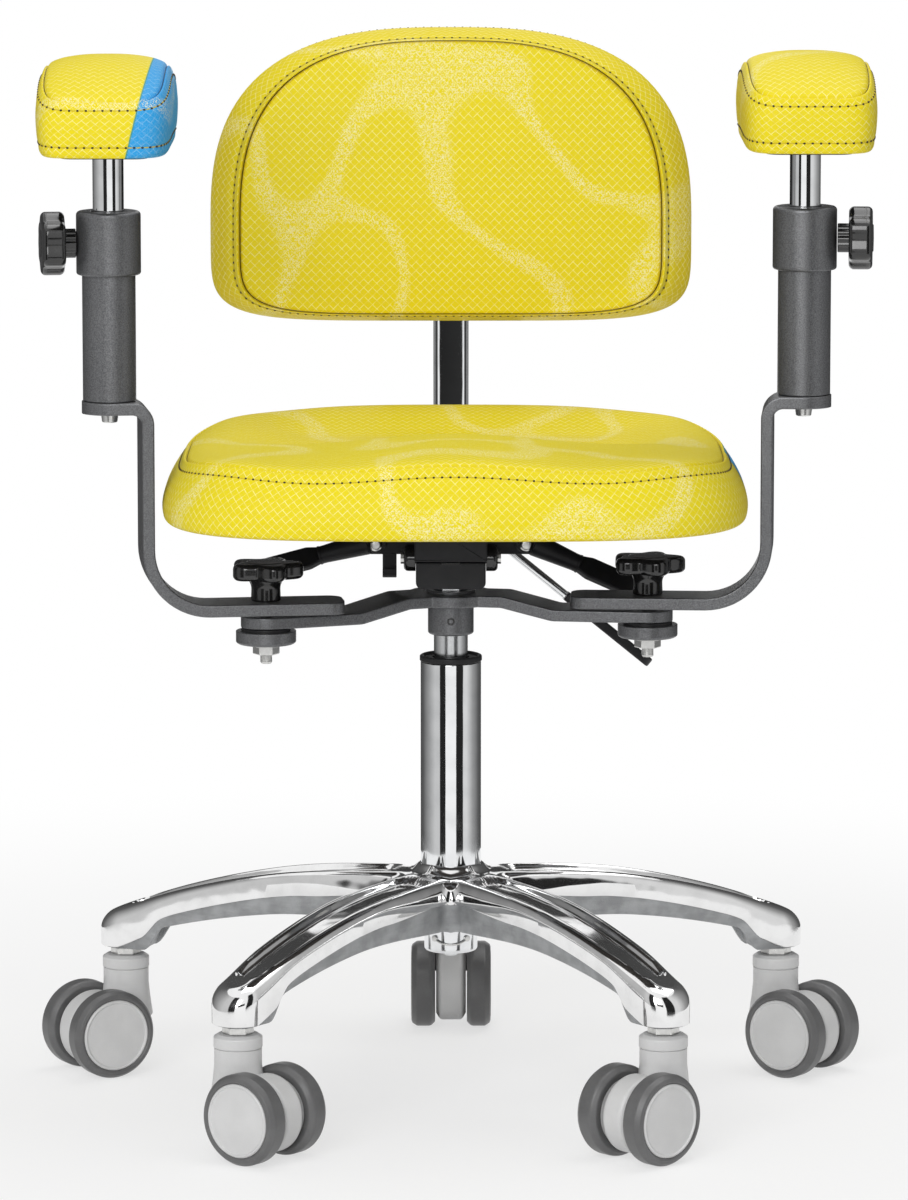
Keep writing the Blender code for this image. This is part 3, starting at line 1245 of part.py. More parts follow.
def build_back(looks, tilt):
    """The hinged bar, the bracket that slides on it, the back board and the cushion."""
    hinge_at = Vector((0.0, BACK_HINGE_Y, BACK_HINGE_Z))
    hinge = pivot("back_hinge", hinge_at - tilt.location, tilt)
    origin = -hinge_at
    half_t = BACK_BAR_T / 2
    near = BACK_BAR_REACH - half_t
    far = BACK_BAR_REACH + half_t
    top = SEAT_Z + BACK_BAR_TOP
    low = BACK_HINGE_Z - half_t
    high = BACK_HINGE_Z + half_t
    corners = [(BACK_HINGE_Y, low, 0), (far, low, BACK_BAR_BEND_R + BACK_BAR_T), (far, top, 0)]
    corners += [(near, top, 0), (near, high, BACK_BAR_BEND_R), (BACK_HINGE_Y, high, 0)]
    bar_mesh = plate("back_bar", rounded(corners, BEND_STEPS), BACK_BAR_W)
    upright = (math.pi / 2, 0.0, math.pi / 2)
    bar = place("back_bar", bar_mesh, looks["chrome"], hinge, origin, upright)
    eye = cylinder("back_eye", BACK_EYE_D / 2, -BACK_BAR_W / 2 + FIT, BACK_BAR_W / 2 - FIT)
    hole = cylinder("back_eye_hole", BACK_PIN_D / 2 + RUN, -BACK_BAR_W, BACK_BAR_W, SMALL_STEPS)
    fuse(bar, eye, (BACK_HINGE_Y, BACK_HINGE_Z, 0.0))
    carve(bar, hole, (BACK_HINGE_Y, BACK_HINGE_Z, 0.0))
    pin_half = BACK_BAR_W / 2 + RUN + BACK_LUG_T + TILT_AXLE_PROUD
    pin = cylinder("back_hinge_pin", BACK_PIN_D / 2, -pin_half, pin_half, SMALL_STEPS)
    place("back_hinge_pin", pin, looks["zinc"], tilt, hinge_at - tilt.location, ALONG_X)

    slot_x = BACK_BAR_W / 2 + RUN
    outer_x = slot_x + BRACKET_WALL
    bracket_z = BACK_Z + BRACKET_UP
    rear_y = far + RUN + BRACKET_WALL
    shell = box("bracket", (-outer_x, BRACKET_FRONT_Y, bracket_z), (outer_x, rear_y, bracket_z + BRACKET_H))
    bracket = place("back_bracket", shell, looks["black_plastic"], hinge, origin)
    soften(bracket, BRACKET_EDGE)
    slot_low = (-slot_x, near - RUN, bracket_z - CUT_PAST)
    slot_high = (slot_x, far + RUN, bracket_z + BRACKET_H + CUT_PAST)
    carve(bracket, box("bracket_slot", slot_low, slot_high))

    inset = BACK_BOARD_INSET
    board_mesh = plate("back_board", back_outline(inset, inset, inset), BACK_BOARD_T)
    board_at = origin + Vector((0.0, BACK_BOARD_Y + BACK_BOARD_T / 2, 0.0))
    board = place("back_board", board_mesh, looks["black_plastic"], hinge, board_at, STAND_UP)
    soften(board, BACK_BOARD_EDGE, 1)

    rear = BACK_REAR_Y
    front = rear - BACK_DEPTH
    edge = rear - BACK_EDGE_T
    side = rear - BACK_SIDE_T
    piping = front + BACK_PIPING_IN
    levels = ((0.9, rear), (0.35, rear), (0.0, edge), (0.15, side), (0.8, piping), (1.15, front))
    rings = [[(x, y, z) for x, z in back_slope(share)] for share, y in levels]
    middle_z = BACK_Z + BACK_WIDE_UP + BACK_CROWN_UP
    for share in (0.72, 0.36):
        ring_y = front - BACK_CROWN * (1 - share**2)
        rings.append([(x * share, ring_y, middle_z + (z - middle_z) * share) for x, z in back_slope(1.15)])
    form = loft("back_cushion", rings, (4,), SEAM_CREASE)
    cushion = place("back_cushion", form, looks["yellow_vinyl"], hinge, origin)
    smooth_form(cushion)


def main():
    """Clears the scene and builds the chair from the floor up."""
    for obj in list(bpy.data.objects):
        bpy.data.objects.remove(obj)
    bpy.context.scene.collection.children.link(PARTS)
    bpy.context.scene.collection.children.link(CUTTERS)
    looks = make_finishes()
    build_base(looks)
    build_casters(looks)
    build_column(looks)
    turn = pivot("yoke_turn", (0.0, 0.0, 0.0), turn_deg=YOKE_TURN_DEG)
    build_yoke(looks, turn)
    build_arms(looks, turn)
    tilt = build_mechanism(looks)
    build_cradle(looks, tilt)
    build_levers(looks, tilt)
    build_seat(looks, tilt)
    build_back(looks, tilt)
    bpy.context.view_layer.update()


main()
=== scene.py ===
"""Visual model of the laboratory chair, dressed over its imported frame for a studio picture."""

import logging
import math
from dataclasses import dataclass
from enum import Enum
from typing import Any, Iterable, Sequence, Union

import bmesh
import bpy
import numpy as np
from mathutils import Matrix, Vector


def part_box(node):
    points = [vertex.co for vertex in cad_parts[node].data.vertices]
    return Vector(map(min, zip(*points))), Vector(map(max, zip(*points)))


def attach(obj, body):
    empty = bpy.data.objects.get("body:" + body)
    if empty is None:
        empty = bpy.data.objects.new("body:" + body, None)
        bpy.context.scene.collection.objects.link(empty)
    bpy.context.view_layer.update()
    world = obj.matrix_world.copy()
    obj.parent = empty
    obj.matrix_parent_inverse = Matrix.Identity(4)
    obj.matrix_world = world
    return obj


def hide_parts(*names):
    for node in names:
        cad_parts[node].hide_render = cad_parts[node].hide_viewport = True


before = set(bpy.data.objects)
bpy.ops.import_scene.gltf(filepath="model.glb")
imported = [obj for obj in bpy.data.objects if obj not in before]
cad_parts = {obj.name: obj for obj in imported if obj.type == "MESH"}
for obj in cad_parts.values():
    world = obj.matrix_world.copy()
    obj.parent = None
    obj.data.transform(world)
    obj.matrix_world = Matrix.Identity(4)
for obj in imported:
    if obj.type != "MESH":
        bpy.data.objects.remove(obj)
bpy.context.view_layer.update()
LOG = logging.getLogger("chair")

Value = Union["Sock", float]
Array = np.ndarray
Pair = tuple[float, float]
Triple = tuple[float, float, float]
Colour = Triple
Path = Sequence[Triple]
Grade = tuple[Pair, ...]
Creases = tuple[tuple[int, float, float], ...]
UP = Vector((0.0, 0.0, 1.0))
RIGHT = Vector((1.0, 0.0, 0.0))
FRONT = Vector((0.0, -1.0, 0.0))
REAR = Vector((0.0, 1.0, 0.0))
# A direction with more Z than this is guided by X
STEEP = 0.9
# Pieces in each bend of a flat bar
BEND_STEPS = 14
SEEN_RAYS = ("Is Camera Ray", "Is Glossy Ray", "Is Transmission Ray")


# Node trees


class Sock:
    """An output socket whose arithmetic adds Math nodes to its tree."""

    def __init__(self, graph: "Graph", socket: bpy.types.NodeSocket) -> None:
        """Keeps the tree and the socket."""
        self.graph = graph
        self.socket = socket

    def _math(self, operation: str, first: Value, second: Value = 0.0) -> "Sock":
        """Adds one Math node."""
        return self.graph.node("ShaderNodeMath", {"operation": operation}, {0: first, 1: second})

    def __add__(self, other: Value) -> "Sock":
        """Sum."""
        return self._math("ADD", self, other)

    def __sub__(self, other: Value) -> "Sock":
        """Difference."""
        return self._math("SUBTRACT", self, other)

    def __rsub__(self, other: Value) -> "Sock":
        """Difference from a number."""
        return self._math("SUBTRACT", other, self)

    def __mul__(self, other: Value) -> "Sock":
        """Product."""
        return self._math("MULTIPLY", self, other)

    __radd__ = __add__
    __rmul__ = __mul__

    def __abs__(self) -> "Sock":
        """Size without sign."""
        return self._math("ABSOLUTE", self)

    def fract(self) -> "Sock":
        """The part after the point."""
        return self._math("FRACT", self)

    def most(self, other: Value) -> "Sock":
        """The larger of two values."""
        return self._math("MAXIMUM", self, other)

    def ease(self, low: float, high: float) -> "Sock":
        """A smooth step from 0 at low to 1 at high."""
        ends = {"Value": self, "From Min": low, "From Max": high}
        return self.graph.node("ShaderNodeMapRange", {"interpolation_type": "SMOOTHSTEP"}, ends)


class Graph:
    """A node tree that grows one node at a time."""

    def __init__(self, tree: bpy.types.NodeTree) -> None:
        """Empties the tree."""
        self.tree = tree
        tree.nodes.clear()

    def node(self, kind: str, settings: dict[str, Any] | None = None,
             sockets: dict[Any, Any] | None = None, out: int | str = 0) -> Sock:
        """Adds a node.

        Args:
            kind: the node's type.
            settings: properties that are set before its sockets.
            sockets: values or links for its inputs, by name or index.
            out: the output that is wanted.

        Returns:
            The wanted output.
        """
        made = self.tree.nodes.new(kind)
        for key, value in (settings or {}).items():
            setattr(made, key, value)
        for key, value in (sockets or {}).items():
            self.feed(made.inputs[key], value)
        return Sock(self, made.outputs[out] if made.outputs else made.inputs[0])

    def feed(self, socket: bpy.types.NodeSocket, value: Any) -> None:
        """Links or sets one input.

        Args:
            socket: the input.
            value: a Sock, a number, a colour or a setting.
        """
        if isinstance(value, Sock):
            self.tree.links.new(value.socket, socket)
        elif isinstance(value, tuple) and len(value) == 3 and socket.type == "RGBA":
            socket.default_value = (*value, 1.0)
        else:
            socket.default_value = value

    def place(self, which: str = "Object") -> Sock:
        """A texture coordinate of the piece."""
        return self.node("ShaderNodeTexCoord", out=which)

    def noise(self, scale: float, detail: float = 2.0, at: Sock | None = None) -> Sock:
        """Smooth noise about 0.5, by features per metre, at the Object coordinate if none is given."""
        spot = at or self.place()
        return self.node("ShaderNodeTexNoise", {}, {"Vector": spot, "Scale": scale, "Detail": detail})

    def stretched(self, scale: Triple) -> Sock:
        """Object coordinates, scaled apart along the axes."""
        return self.node("ShaderNodeMapping", {}, {"Vector": self.place(), "Scale": scale})

    def mix(self, share: Value, first: Any, second: Any) -> Sock:
        """Mixes two colours."""
        return self.node("ShaderNodeMix", {"data_type": "RGBA"}, {0: share, 6: first, 7: second}, 2)

    def attribute(self, name: str) -> Sock:
        """A value kept on the piece's points."""
        return self.node("ShaderNodeAttribute", {"attribute_name": name}, out="Fac")

    def bump(self, height: Sock, strength: float, reach: float) -> Sock:
        """A normal from a height."""
        sockets = {"Height": height, "Strength": strength, "Distance": reach}
        return self.node("ShaderNodeBump", {}, sockets)

    def coat(self, sockets: dict[str, Any]) -> None:
        """Ends the tree in one principled surface with these inputs."""
        shader = self.node("ShaderNodeBsdfPrincipled", {}, sockets)
        self.node("ShaderNodeOutputMaterial", {}, {"Surface": shader})


# Finishes


class Slot(Enum):
    """The record's material slots."""

    ALUMINIUM = "polished_aluminium"
    CHROME = "chrome"
    STEEL = "brushed_steel"
    ZINC = "zinc"
    POWDER = "powder_coat"
    GLOSS = "gloss_black"
    PLASTIC = "black_plastic"
    CASTER = "caster_grey"
    TYRE = "tyre_grey"
    VINYL = "yellow_vinyl"
    PLY = "plywood"


@dataclass(frozen=True)
class Finish:
    """A surface finish in one of the record's slots."""

    label: str
    slot: Slot

    def material(self) -> bpy.types.Material:
        """The finish's material, made on first use.

        Returns:
            The material.
        """
        made = bpy.data.materials.get(self.label)
        if made is None:
            made = bpy.data.materials.new(self.label)
            made.use_nodes = True
            self.paint(Graph(made.node_tree))
        return made

    def paint(self, graph: Graph) -> None:
        """Builds the finish's nodes."""
        raise NotImplementedError


@dataclass(frozen=True)
class PowderCoat(Finish):
    """Fine textured powder paint with pale specks."""

    dark: Colour = (0.095, 0.097, 0.101)
    light: Colour = (0.225, 0.228, 0.236)
    grain: float = 1100.0
    metal: float = 0.7
    roughness: float = 0.38

    def paint(self, graph: Graph) -> None:
        """Grain in colour, roughness and height.

        Args:
            graph: its empty tree.
        """
        grain = graph.noise(self.grain, 3.0)
        cloud = graph.noise(35.0)
        share = grain.ease(0.28, 0.72) * 0.75 + cloud * 0.25
        graph.coat({
            "Base Color": graph.mix(share, self.dark, self.light),
            "Metallic": self.metal,
            "Roughness": self.roughness + grain * 0.14 - 0.07,
            "Normal": graph.bump(grain, 0.3, 0.0006),
        })


@dataclass(frozen=True)
class MirrorMetal(Finish):
    """Polished or plated metal with a faint haze and ripple."""

    colour: Colour = (0.86, 0.87, 0.88)
    shade: Colour = (0.76, 0.77, 0.78)
    roughness: float = 0.04
    ripple: float = 0.04

    def paint(self, graph: Graph) -> None:
        """Haze in roughness, slow ripple in height.

        Args:
            graph: its empty tree.
        """
        haze = graph.noise(55.0, 4.0)
        wave = graph.noise(38.0, 1.0)
        graph.coat({
            "Base Color": graph.mix(haze.ease(0.35, 0.75), self.colour, self.shade),
            "Metallic": 1.0,
            "Roughness": self.roughness + haze.ease(0.45, 0.8) * 0.05,
            "Normal": graph.bump(wave, self.ripple, 0.004),
        })


@dataclass(frozen=True)
class TurnedMetal(Finish):
    """Bright metal with fine lines across one axis."""

    colour: Colour = (0.78, 0.79, 0.8)
    shade: Colour = (0.58, 0.59, 0.6)
    lines: Triple = (12.0, 12.0, 2600.0)
    roughness: float = 0.14

    def paint(self, graph: Graph) -> None:
        """Fine drawn lines.

        Args:
            graph: its empty tree.
        """
        line = graph.noise(1.0, 2.0, graph.stretched(self.lines))
        graph.coat({
            "Base Color": graph.mix(line, self.colour, self.shade),
            "Metallic": 1.0,
            "Roughness": self.roughness + line * 0.16,
            "Normal": graph.bump(line, 0.1, 0.0003),
        })


@dataclass(frozen=True)
class CastMetal(Finish):
    """Raw sand-cast skin."""

    colour: Colour = (0.52, 0.53, 0.54)
    shade: Colour = (0.24, 0.245, 0.25)

    def paint(self, graph: Graph) -> None:
        """Pitted grey skin with patches and faint streaks.

        Args:
            graph: its empty tree.
        """
        pits = graph.noise(1300.0, 3.0)
        cloud = graph.noise(70.0, 4.0).ease(0.32, 0.68)
        streak = graph.noise(1.0, 3.0, graph.stretched((60.0, 60.0, 420.0)))
        graph.coat({
            "Base Color": graph.mix(pits * 0.3 + cloud * 0.4 + streak * 0.3, self.shade, self.colour),
            "Metallic": 0.75,
            "Roughness": 0.42 + pits * 0.2,
            "Normal": graph.bump(pits, 0.5, 0.0008),
        })


@dataclass(frozen=True)
class Moulded(Finish):
    """Moulded plastic or rubber with a fine spark-eroded grain."""

    colour: Colour = (0.012, 0.012, 0.013)
    worn: Colour = (0.03, 0.03, 0.032)
    roughness: float = 0.4
    grain: float = 1500.0
    depth: float = 0.12
    coat: float = 0.0
    specular: float = 0.5

    def paint(self, graph: Graph) -> None:
        """Grain in colour, roughness and height.

        Args:
            graph: its empty tree.
        """
        grain = graph.noise(self.grain, 2.0)
        cloud = graph.noise(42.0, 3.0)
        graph.coat({
            "Base Color": graph.mix(grain * 0.5 + cloud.ease(0.35, 0.75) * 0.5, self.colour, self.worn),
            "Roughness": self.roughness + cloud.ease(0.3, 0.8) * 0.09 + grain * 0.06 - 0.06,
            "Specular IOR Level": self.specular,
            "Coat Weight": self.coat,
            "Coat Roughness": 0.08,
            "Normal": graph.bump(grain, self.depth, 0.0004),
        })


@dataclass(frozen=True)
class Plywood(Finish):
    """Thin board, stained dark."""

    colour: Colour = (0.06, 0.052, 0.046)
    shade: Colour = (0.022, 0.019, 0.017)

    def paint(self, graph: Graph) -> None:
        """Long grain with plies across the edge.

        Args:
            graph: its empty tree.
        """
        fibre = graph.noise(1.0, 4.0, graph.stretched((14.0, 420.0, 900.0)))
        graph.coat({
            "Base Color": graph.mix(fibre.ease(0.3, 0.7), self.shade, self.colour),
            "Roughness": 0.62 + fibre * 0.15,
            "Normal": graph.bump(fibre, 0.2, 0.0005),
        })


@dataclass(frozen=True)
class Vinyl(Finish):
    """Printed yellow vinyl: pale diamond lattice, chalky mottling and cool accents, with painted shade in
    its creases, at its sides and underneath.
    """

    ground: Colour = (0.86, 0.71, 0.004)
    # Colour of the painted shade at the sides and underneath
    painted_shade_colour: Colour = (0.62, 0.42, 0.002)
    line: Colour = (0.98, 0.92, 0.34)
    chalk: Colour = (0.96, 0.92, 0.6)
    # Colour of the painted shade in the creases
    dark: Colour = (0.03, 0.018, 0.001)
    cool: Colour = (0.03, 0.36, 0.78)
    cool_line: Colour = (0.3, 0.62, 0.85)
    rim: Colour = (0.05, 0.3, 0.24)
    pitch: float = 0.0052
    line_width: float = 0.085

    def lattice(self, graph: Graph) -> Sock:
        """The pale strokes of the print, over and under like a basket, from the cover's UV in metres.

        Args:
            graph: the material's tree.

        Returns:
            The strokes' strength.
        """
        split = {"Vector": graph.place("UV")}
        along = graph.node("ShaderNodeSeparateXYZ", {}, split, "X")
        across = graph.node("ShaderNodeSeparateXYZ", {}, split, "Y")
        step = 1.0 / (self.pitch * math.sqrt(2.0))
        first, second = (along + across) * step, (along - across) * step
        strokes = []
        for turned, other, shift in ((first, second, 0.25), (second, first, 0.75)):
            off = abs(turned.fract() - 0.5)
            line = 1.0 - off.ease(0.3 * self.line_width, self.line_width)
            over = ((other + turned - turned.fract()) * 0.5 + shift).fract()
            strokes.append(line * (1.0 - over.ease(0.58, 0.66) * 0.6))
        broken = graph.noise(260.0, 2.0).ease(0.3, 0.6)
        return strokes[0].most(strokes[1]) * (broken * 0.7 + 0.3)

    def paint(self, graph: Graph) -> None:
        """Print, grain, painted shade in the creases and at the sides, and accents.

        Args:
            graph: its empty tree.
        """
        lattice = self.lattice(graph)
        ribbon_at = abs((graph.noise(6.5, 0.6) * 2.6).fract() - 0.5)
        fine = graph.noise(850.0, 2.0)
        # The seam attribute holds painted shade along the creases
        seam = graph.attribute("seam")
        accent = graph.attribute("accent")
        # The shade attribute holds painted shade at the sides and underneath
        shade = graph.attribute("shade")
        ribbons = (1.0 - ribbon_at.ease(0.035, 0.08)) * 0.75 + 0.08
        chalk = fine.ease(0.49, 0.58) * ribbons * (1.0 - shade * 0.8)
        # Painted shade darkens the ground colour towards painted_shade_colour
        tone = graph.mix(fine.ease(0.25, 0.8) * 0.2 + shade * 0.8, self.ground, self.painted_shade_colour)
        tone = graph.mix(lattice * 0.85, tone, self.line)
        tone = graph.mix(accent.ease(0.3, 0.45), tone, self.rim)
        cool = graph.mix(lattice * 0.6, self.cool, self.cool_line)
        tone = graph.mix(accent.ease(0.5, 0.62), tone, cool)
        tone = graph.mix(chalk * 0.72, tone, self.chalk)
        # Painted crease shade: the seam attribute darkens the colour
        tone = graph.mix(seam, tone, self.dark)
        grain = graph.noise(1700.0, 2.0)
        graph.coat({
            "Base Color": tone,
            "Roughness": 0.44 + grain * 0.14 + chalk * 0.08,
            "Specular IOR Level": 0.16,
            "Normal": graph.bump(grain + lattice * 0.5, 0.16, 0.0005),
        })


@dataclass(frozen=True)
class Thread(Finish):
    """Sewing thread, or dark painted shade for the hole it leaves."""

    colour: Colour = (0.8, 0.64, 0.02)
    shade: Colour = (0.5, 0.36, 0.01)

    def paint(self, graph: Graph) -> None:
        """Twisted fibre.

        Args:
            graph: its empty tree.
        """
        twist = graph.noise(2400.0, 2.0)
        graph.coat({
            "Base Color": graph.mix(twist, self.shade, self.colour),
            "Roughness": 0.55 + twist * 0.2,
        })


VINYL = Vinyl("lattice_vinyl", Slot.VINYL)
THREAD = Thread("yellow_thread", Slot.VINYL)
# Dark beads of painted shade for each needle hole
PAINTED_HOLE_SHADE = Thread("needle_hole", Slot.VINYL, colour=(0.05, 0.03, 0.004), shade=(0.016, 0.009, 0.001))
POWDER = PowderCoat("speckled_powder", Slot.POWDER)
CHROME = MirrorMetal("mirror_chrome", Slot.CHROME)
ALUMINIUM = MirrorMetal("buffed_aluminium", Slot.ALUMINIUM, colour=(0.88, 0.88, 0.88),
                        shade=(0.8, 0.8, 0.8), roughness=0.07, ripple=0.1)
CAST = CastMetal("cast_skin", Slot.ALUMINIUM)
STEEL = TurnedMetal("drawn_steel", Slot.STEEL)
ZINC = TurnedMetal("zinc_plate", Slot.ZINC, colour=(0.8, 0.8, 0.78), shade=(0.58, 0.58, 0.57),
                   lines=(260.0, 260.0, 260.0), roughness=0.22)
GLOSS = Moulded("gloss_knob", Slot.GLOSS, colour=(0.006, 0.006, 0.006), worn=(0.014, 0.014, 0.014),
                roughness=0.16, grain=900.0, depth=0.03, coat=0.6)
PLASTIC = Moulded("grained_plastic", Slot.PLASTIC, colour=(0.009, 0.009, 0.01),
                  worn=(0.024, 0.024, 0.026), depth=0.25, specular=0.28)
CASTER = Moulded("caster_shell", Slot.CASTER, colour=(0.63, 0.63, 0.63), worn=(0.72, 0.72, 0.72),
                 roughness=0.36, grain=1200.0, depth=0.06)
TYRE = Moulded("caster_tread", Slot.TYRE, colour=(0.105, 0.105, 0.106), worn=(0.16, 0.16, 0.162),
               roughness=0.38, grain=1000.0, depth=0.15)
PLY = Plywood("seat_ply", Slot.PLY)


# Forms


def on_circle(angle: Array) -> Array:
    """Points of a unit circle."""
    return np.stack([np.cos(angle), np.sin(angle)], 1)


def ease(value: Any, low: float, high: float) -> Any:
    """A smooth step from 0 at low to 1 at high, on numbers or arrays."""
    share = np.clip((value - low) / (high - low), 0.0, 1.0)
    return share * share * (3.0 - 2.0 * share)


def hump(value: Any, spread: float) -> Any:
    """A smooth hump, 1 in its middle."""
    return np.exp(-((value / spread) ** 2))


@dataclass
class Shape:
    """Points and faces on their way to a mesh, with a finish number for each face."""

    points: Array
    faces: list[tuple[int, ...]]
    zones: list[int]

    def __add__(self, other: "Shape") -> "Shape":
        """Both shapes as one."""
        faces = self.faces + [tuple(i + len(self.points) for i in face) for face in other.faces]
        return Shape(np.vstack([self.points, other.points]), faces, self.zones + other.zones)

    def moved(self, matrix: Matrix) -> "Shape":
        """The shape after a transform."""
        turn = np.array(matrix.to_3x3())
        return Shape(self.points @ turn.T + np.array(matrix.translation), self.faces, self.zones)

    def at(self, x: float, y: float, z: float = 0.0) -> "Shape":
        """The shape, shifted."""
        return self.moved(Matrix.Translation((x, y, z)))

    def zoned(self, zone: int) -> "Shape":
        """The shape with one finish number."""
        return Shape(self.points, self.faces, [zone] * len(self.faces))

    def mesh(self, name: str) -> bpy.types.Mesh:
        """A mesh with merged doubles and outward faces.

        Args:
            name: the mesh's name.

        Returns:
            The mesh.
        """
        mesh = bpy.data.meshes.new(name)
        mesh.from_pydata([tuple(p) for p in self.points], [], self.faces)
        mesh.polygons.foreach_set("material_index", self.zones)
        work = bmesh.new()
        work.from_mesh(mesh)
        bmesh.ops.remove_doubles(work, verts=work.verts, dist=1e-6)
        bmesh.ops.dissolve_degenerate(work, edges=work.edges, dist=1e-7)
        bmesh.ops.recalc_face_normals(work, faces=work.faces)
        work.to_mesh(mesh)
        work.free()
        return mesh


def joined(shapes: Iterable[Shape]) -> Shape:
    """Many shapes as one."""
    first, *rest = shapes
    return sum(rest, first)


def grid(rows: Array, ring: bool = True, loop: bool = False, caps: bool = False,
         zones: Sequence[int] | None = None) -> Shape:
    """A quad surface through rows of points.

    Args:
        rows: an array of rows by columns by 3.
        ring: joins the last column to the first.
        loop: joins the last row to the first.
        caps: closes the first and last rows.
        zones: a finish number for each gap between columns.

    Returns:
        The surface.
    """
    count, width = rows.shape[:2]
    faces, marks = [], []
    for i in range(count if loop else count - 1):
        low, high = i * width, (i + 1) % count * width
        for j in range(width if ring else width - 1):
            k = (j + 1) % width
            faces.append((low + j, low + k, high + k, high + j))
            marks.append(zones[j] if zones else 0)
    if caps:
        faces.append(tuple(reversed(range(width))))
        faces.append(tuple(range((count - 1) * width, count * width)))
        marks += [marks[0], marks[0]]
    return Shape(rows.reshape(-1, 3), faces, marks)


def rounded(corners: Path, steps: int = 4, closed: bool = False) -> Array:
    """A flat path with rounded corners and support points beside each.

    Args:
        corners: (u, v, radius) in order.
        steps: pieces in each arc.
        closed: joins the end to the start.

    Returns:
        The path's points.
    """
    path: list[Any] = []
    count = len(corners)
    most, support, far = 0.46, 1.3, 0.48
    for i, (u, v, radius) in enumerate(corners):
        spot = np.array((u, v))
        if radius <= 0.0 or (not closed and i in (0, count - 1)):
            path.append(spot)
            continue
        back = np.array(corners[i - 1][:2]) - spot
        ahead = np.array(corners[(i + 1) % count][:2]) - spot
        room_back, room_ahead = np.linalg.norm(back), np.linalg.norm(ahead)
        back, ahead = back / room_back, ahead / room_ahead
        half = math.acos(float(np.clip(back @ ahead, -1.0, 1.0))) / 2
        reach = min(radius / math.tan(half), most * room_back, most * room_ahead)
        middle = spot + (back + ahead) / np.linalg.norm(back + ahead) * reach / math.cos(half)
        first = spot + back * reach - middle
        last = spot + ahead * reach - middle
        start = math.atan2(first[1], first[0])
        swing = (math.atan2(last[1], last[0]) - start + math.pi) % (2 * math.pi) - math.pi
        size = np.linalg.norm(first)
        path.append(spot + back * min(reach * support, far * room_back))
        for k in range(steps + 1):
            angle = start + swing * k / steps
            path.append(middle + size * np.array((math.cos(angle), math.sin(angle))))
        path.append(spot + ahead * min(reach * support, far * room_ahead))
    return np.array(path)


def turned(corners: Path, steps: int = 72, closed: bool = False, arc: int = 4) -> Shape:
    """A shape turned about Z.

    Args:
        corners: (radius, height, rounding) in order, up the outside.
        steps: sides of the turn.
        closed: joins the profile's end to its start, for a ring.
        arc: pieces in each rounding.

    Returns:
        The shape.
    """
    path = rounded(corners, arc, closed)
    angle = np.linspace(0.0, 2 * math.pi, steps, endpoint=False)
    rows = np.zeros((len(path), steps, 3))
    rows[..., 0] = path[:, :1] * np.cos(angle)
    rows[..., 1] = path[:, :1] * np.sin(angle)
    rows[..., 2] = path[:, 1:]
    return grid(rows, loop=closed)


def peg(radius: float, low: float, high: float, foot: float, head: float, steps: int) -> Shape:
    """A short round bar with rounded rims, its foot's and its head's."""
    return turned([(0.0, low, 0), (radius, low, foot), (radius, high, head), (0.0, high, 0)], steps)


def washer(inner: float, outer: float, low: float, high: float, edges: Sequence[float], steps: int) -> Shape:
    """A ring with four rounded rims, from the low inner one round to the high inner one."""
    corners = zip((inner, outer, outer, inner), (low, low, high, high), edges)
    return turned(list(corners), steps, True)


def prism(outline: Array, low: float, high: float, edge: float, steps: int = 3) -> Shape:
    """A flat outline raised into a solid with rounded rims.

    Args:
        outline: points in order, anticlockwise.
        low: the bottom's height.
        high: the top's height.
        edge: the rims' rounding.
        steps: pieces in each rounding.

    Returns:
        The solid.
    """
    ahead = np.roll(outline, -1, 0) - np.roll(outline, 1, 0)
    inward = np.stack([-ahead[:, 1], ahead[:, 0]], 1)
    inward /= np.linalg.norm(inward, axis=1, keepdims=True)
    levels = []
    for k in range(steps + 1):
        angle = math.pi / 2 * k / steps
        levels.append((edge * (1 - math.sin(angle)), edge * (1 - math.cos(angle))))
    rims = [(edge * 1.5, low)] + [(inset, low + rise) for inset, rise in levels]
    rims += [(0.0, low + edge * 1.3), (0.0, high - edge * 1.3)]
    rims += [(inset, high - rise) for inset, rise in reversed(levels)] + [(edge * 1.5, high)]
    rows = [np.column_stack([outline + inward * inset, np.full(len(outline), z)]) for inset, z in rims]
    return grid(np.array(rows), caps=True)


def lobed(diameter: float, lobes: int, depth: float, count: int = 120) -> Array:
    """The outline of a lobed knob.

    Args:
        diameter: across its lobes.
        lobes: their number.
        depth: of the hollows between them.
        count: points round it.

    Returns:
        The outline.
    """
    angle = np.linspace(0.0, 2 * math.pi, count, endpoint=False)
    wave = (0.5 + 0.5 * np.cos(lobes * angle)) ** 0.8
    reach = diameter / 2 - depth * (1 - wave)
    return reach[:, None] * on_circle(angle)


def hexagon(flats: float) -> Array:
    """The outline of a nut, from its width across flats."""
    spots = on_circle(np.arange(6) * math.pi / 3) * (flats / math.sqrt(3.0))
    return rounded([(u, v, 0.0006) for u, v in spots], 2, True)


def block(low: Sequence[float], high: Sequence[float], edge: float, corner: float = 0.0) -> Shape:
    """A box between two corners with rounded rims and, in plan, corners rounded no less than the rims."""
    (x0, y0, z0), (x1, y1, z1), r = low, high, max(corner, edge)
    return prism(rounded([(x0, y0, r), (x1, y0, r), (x1, y1, r), (x0, y1, r)], 5, True), z0, z1, edge)


def ribbon(spots: Array, sides: Array, faces: Array, left: Array, right: Array,
           thick: float, edge: float) -> Shape:
    """A bent flat bar.

    Args:
        spots: points along its middle.
        sides: the direction across the bar at each point.
        faces: the direction out of its face at each point.
        left: its reach against the side direction.
        right: its reach along it.
        thick: its thickness.
        edge: the rounding of its edges.

    Returns:
        The bar.
    """
    half = thick / 2
    rows = []
    for spot, side, face, low, high in zip(spots, sides, faces, left, right):
        corners = [(-low, -half, edge), (high, -half, edge), (high, half, edge), (-low, half, edge)]
        section = rounded(corners, 3, True)
        rows.append(spot + section[:, :1] * side + section[:, 1:] * face)
    return grid(np.array(rows), caps=True)


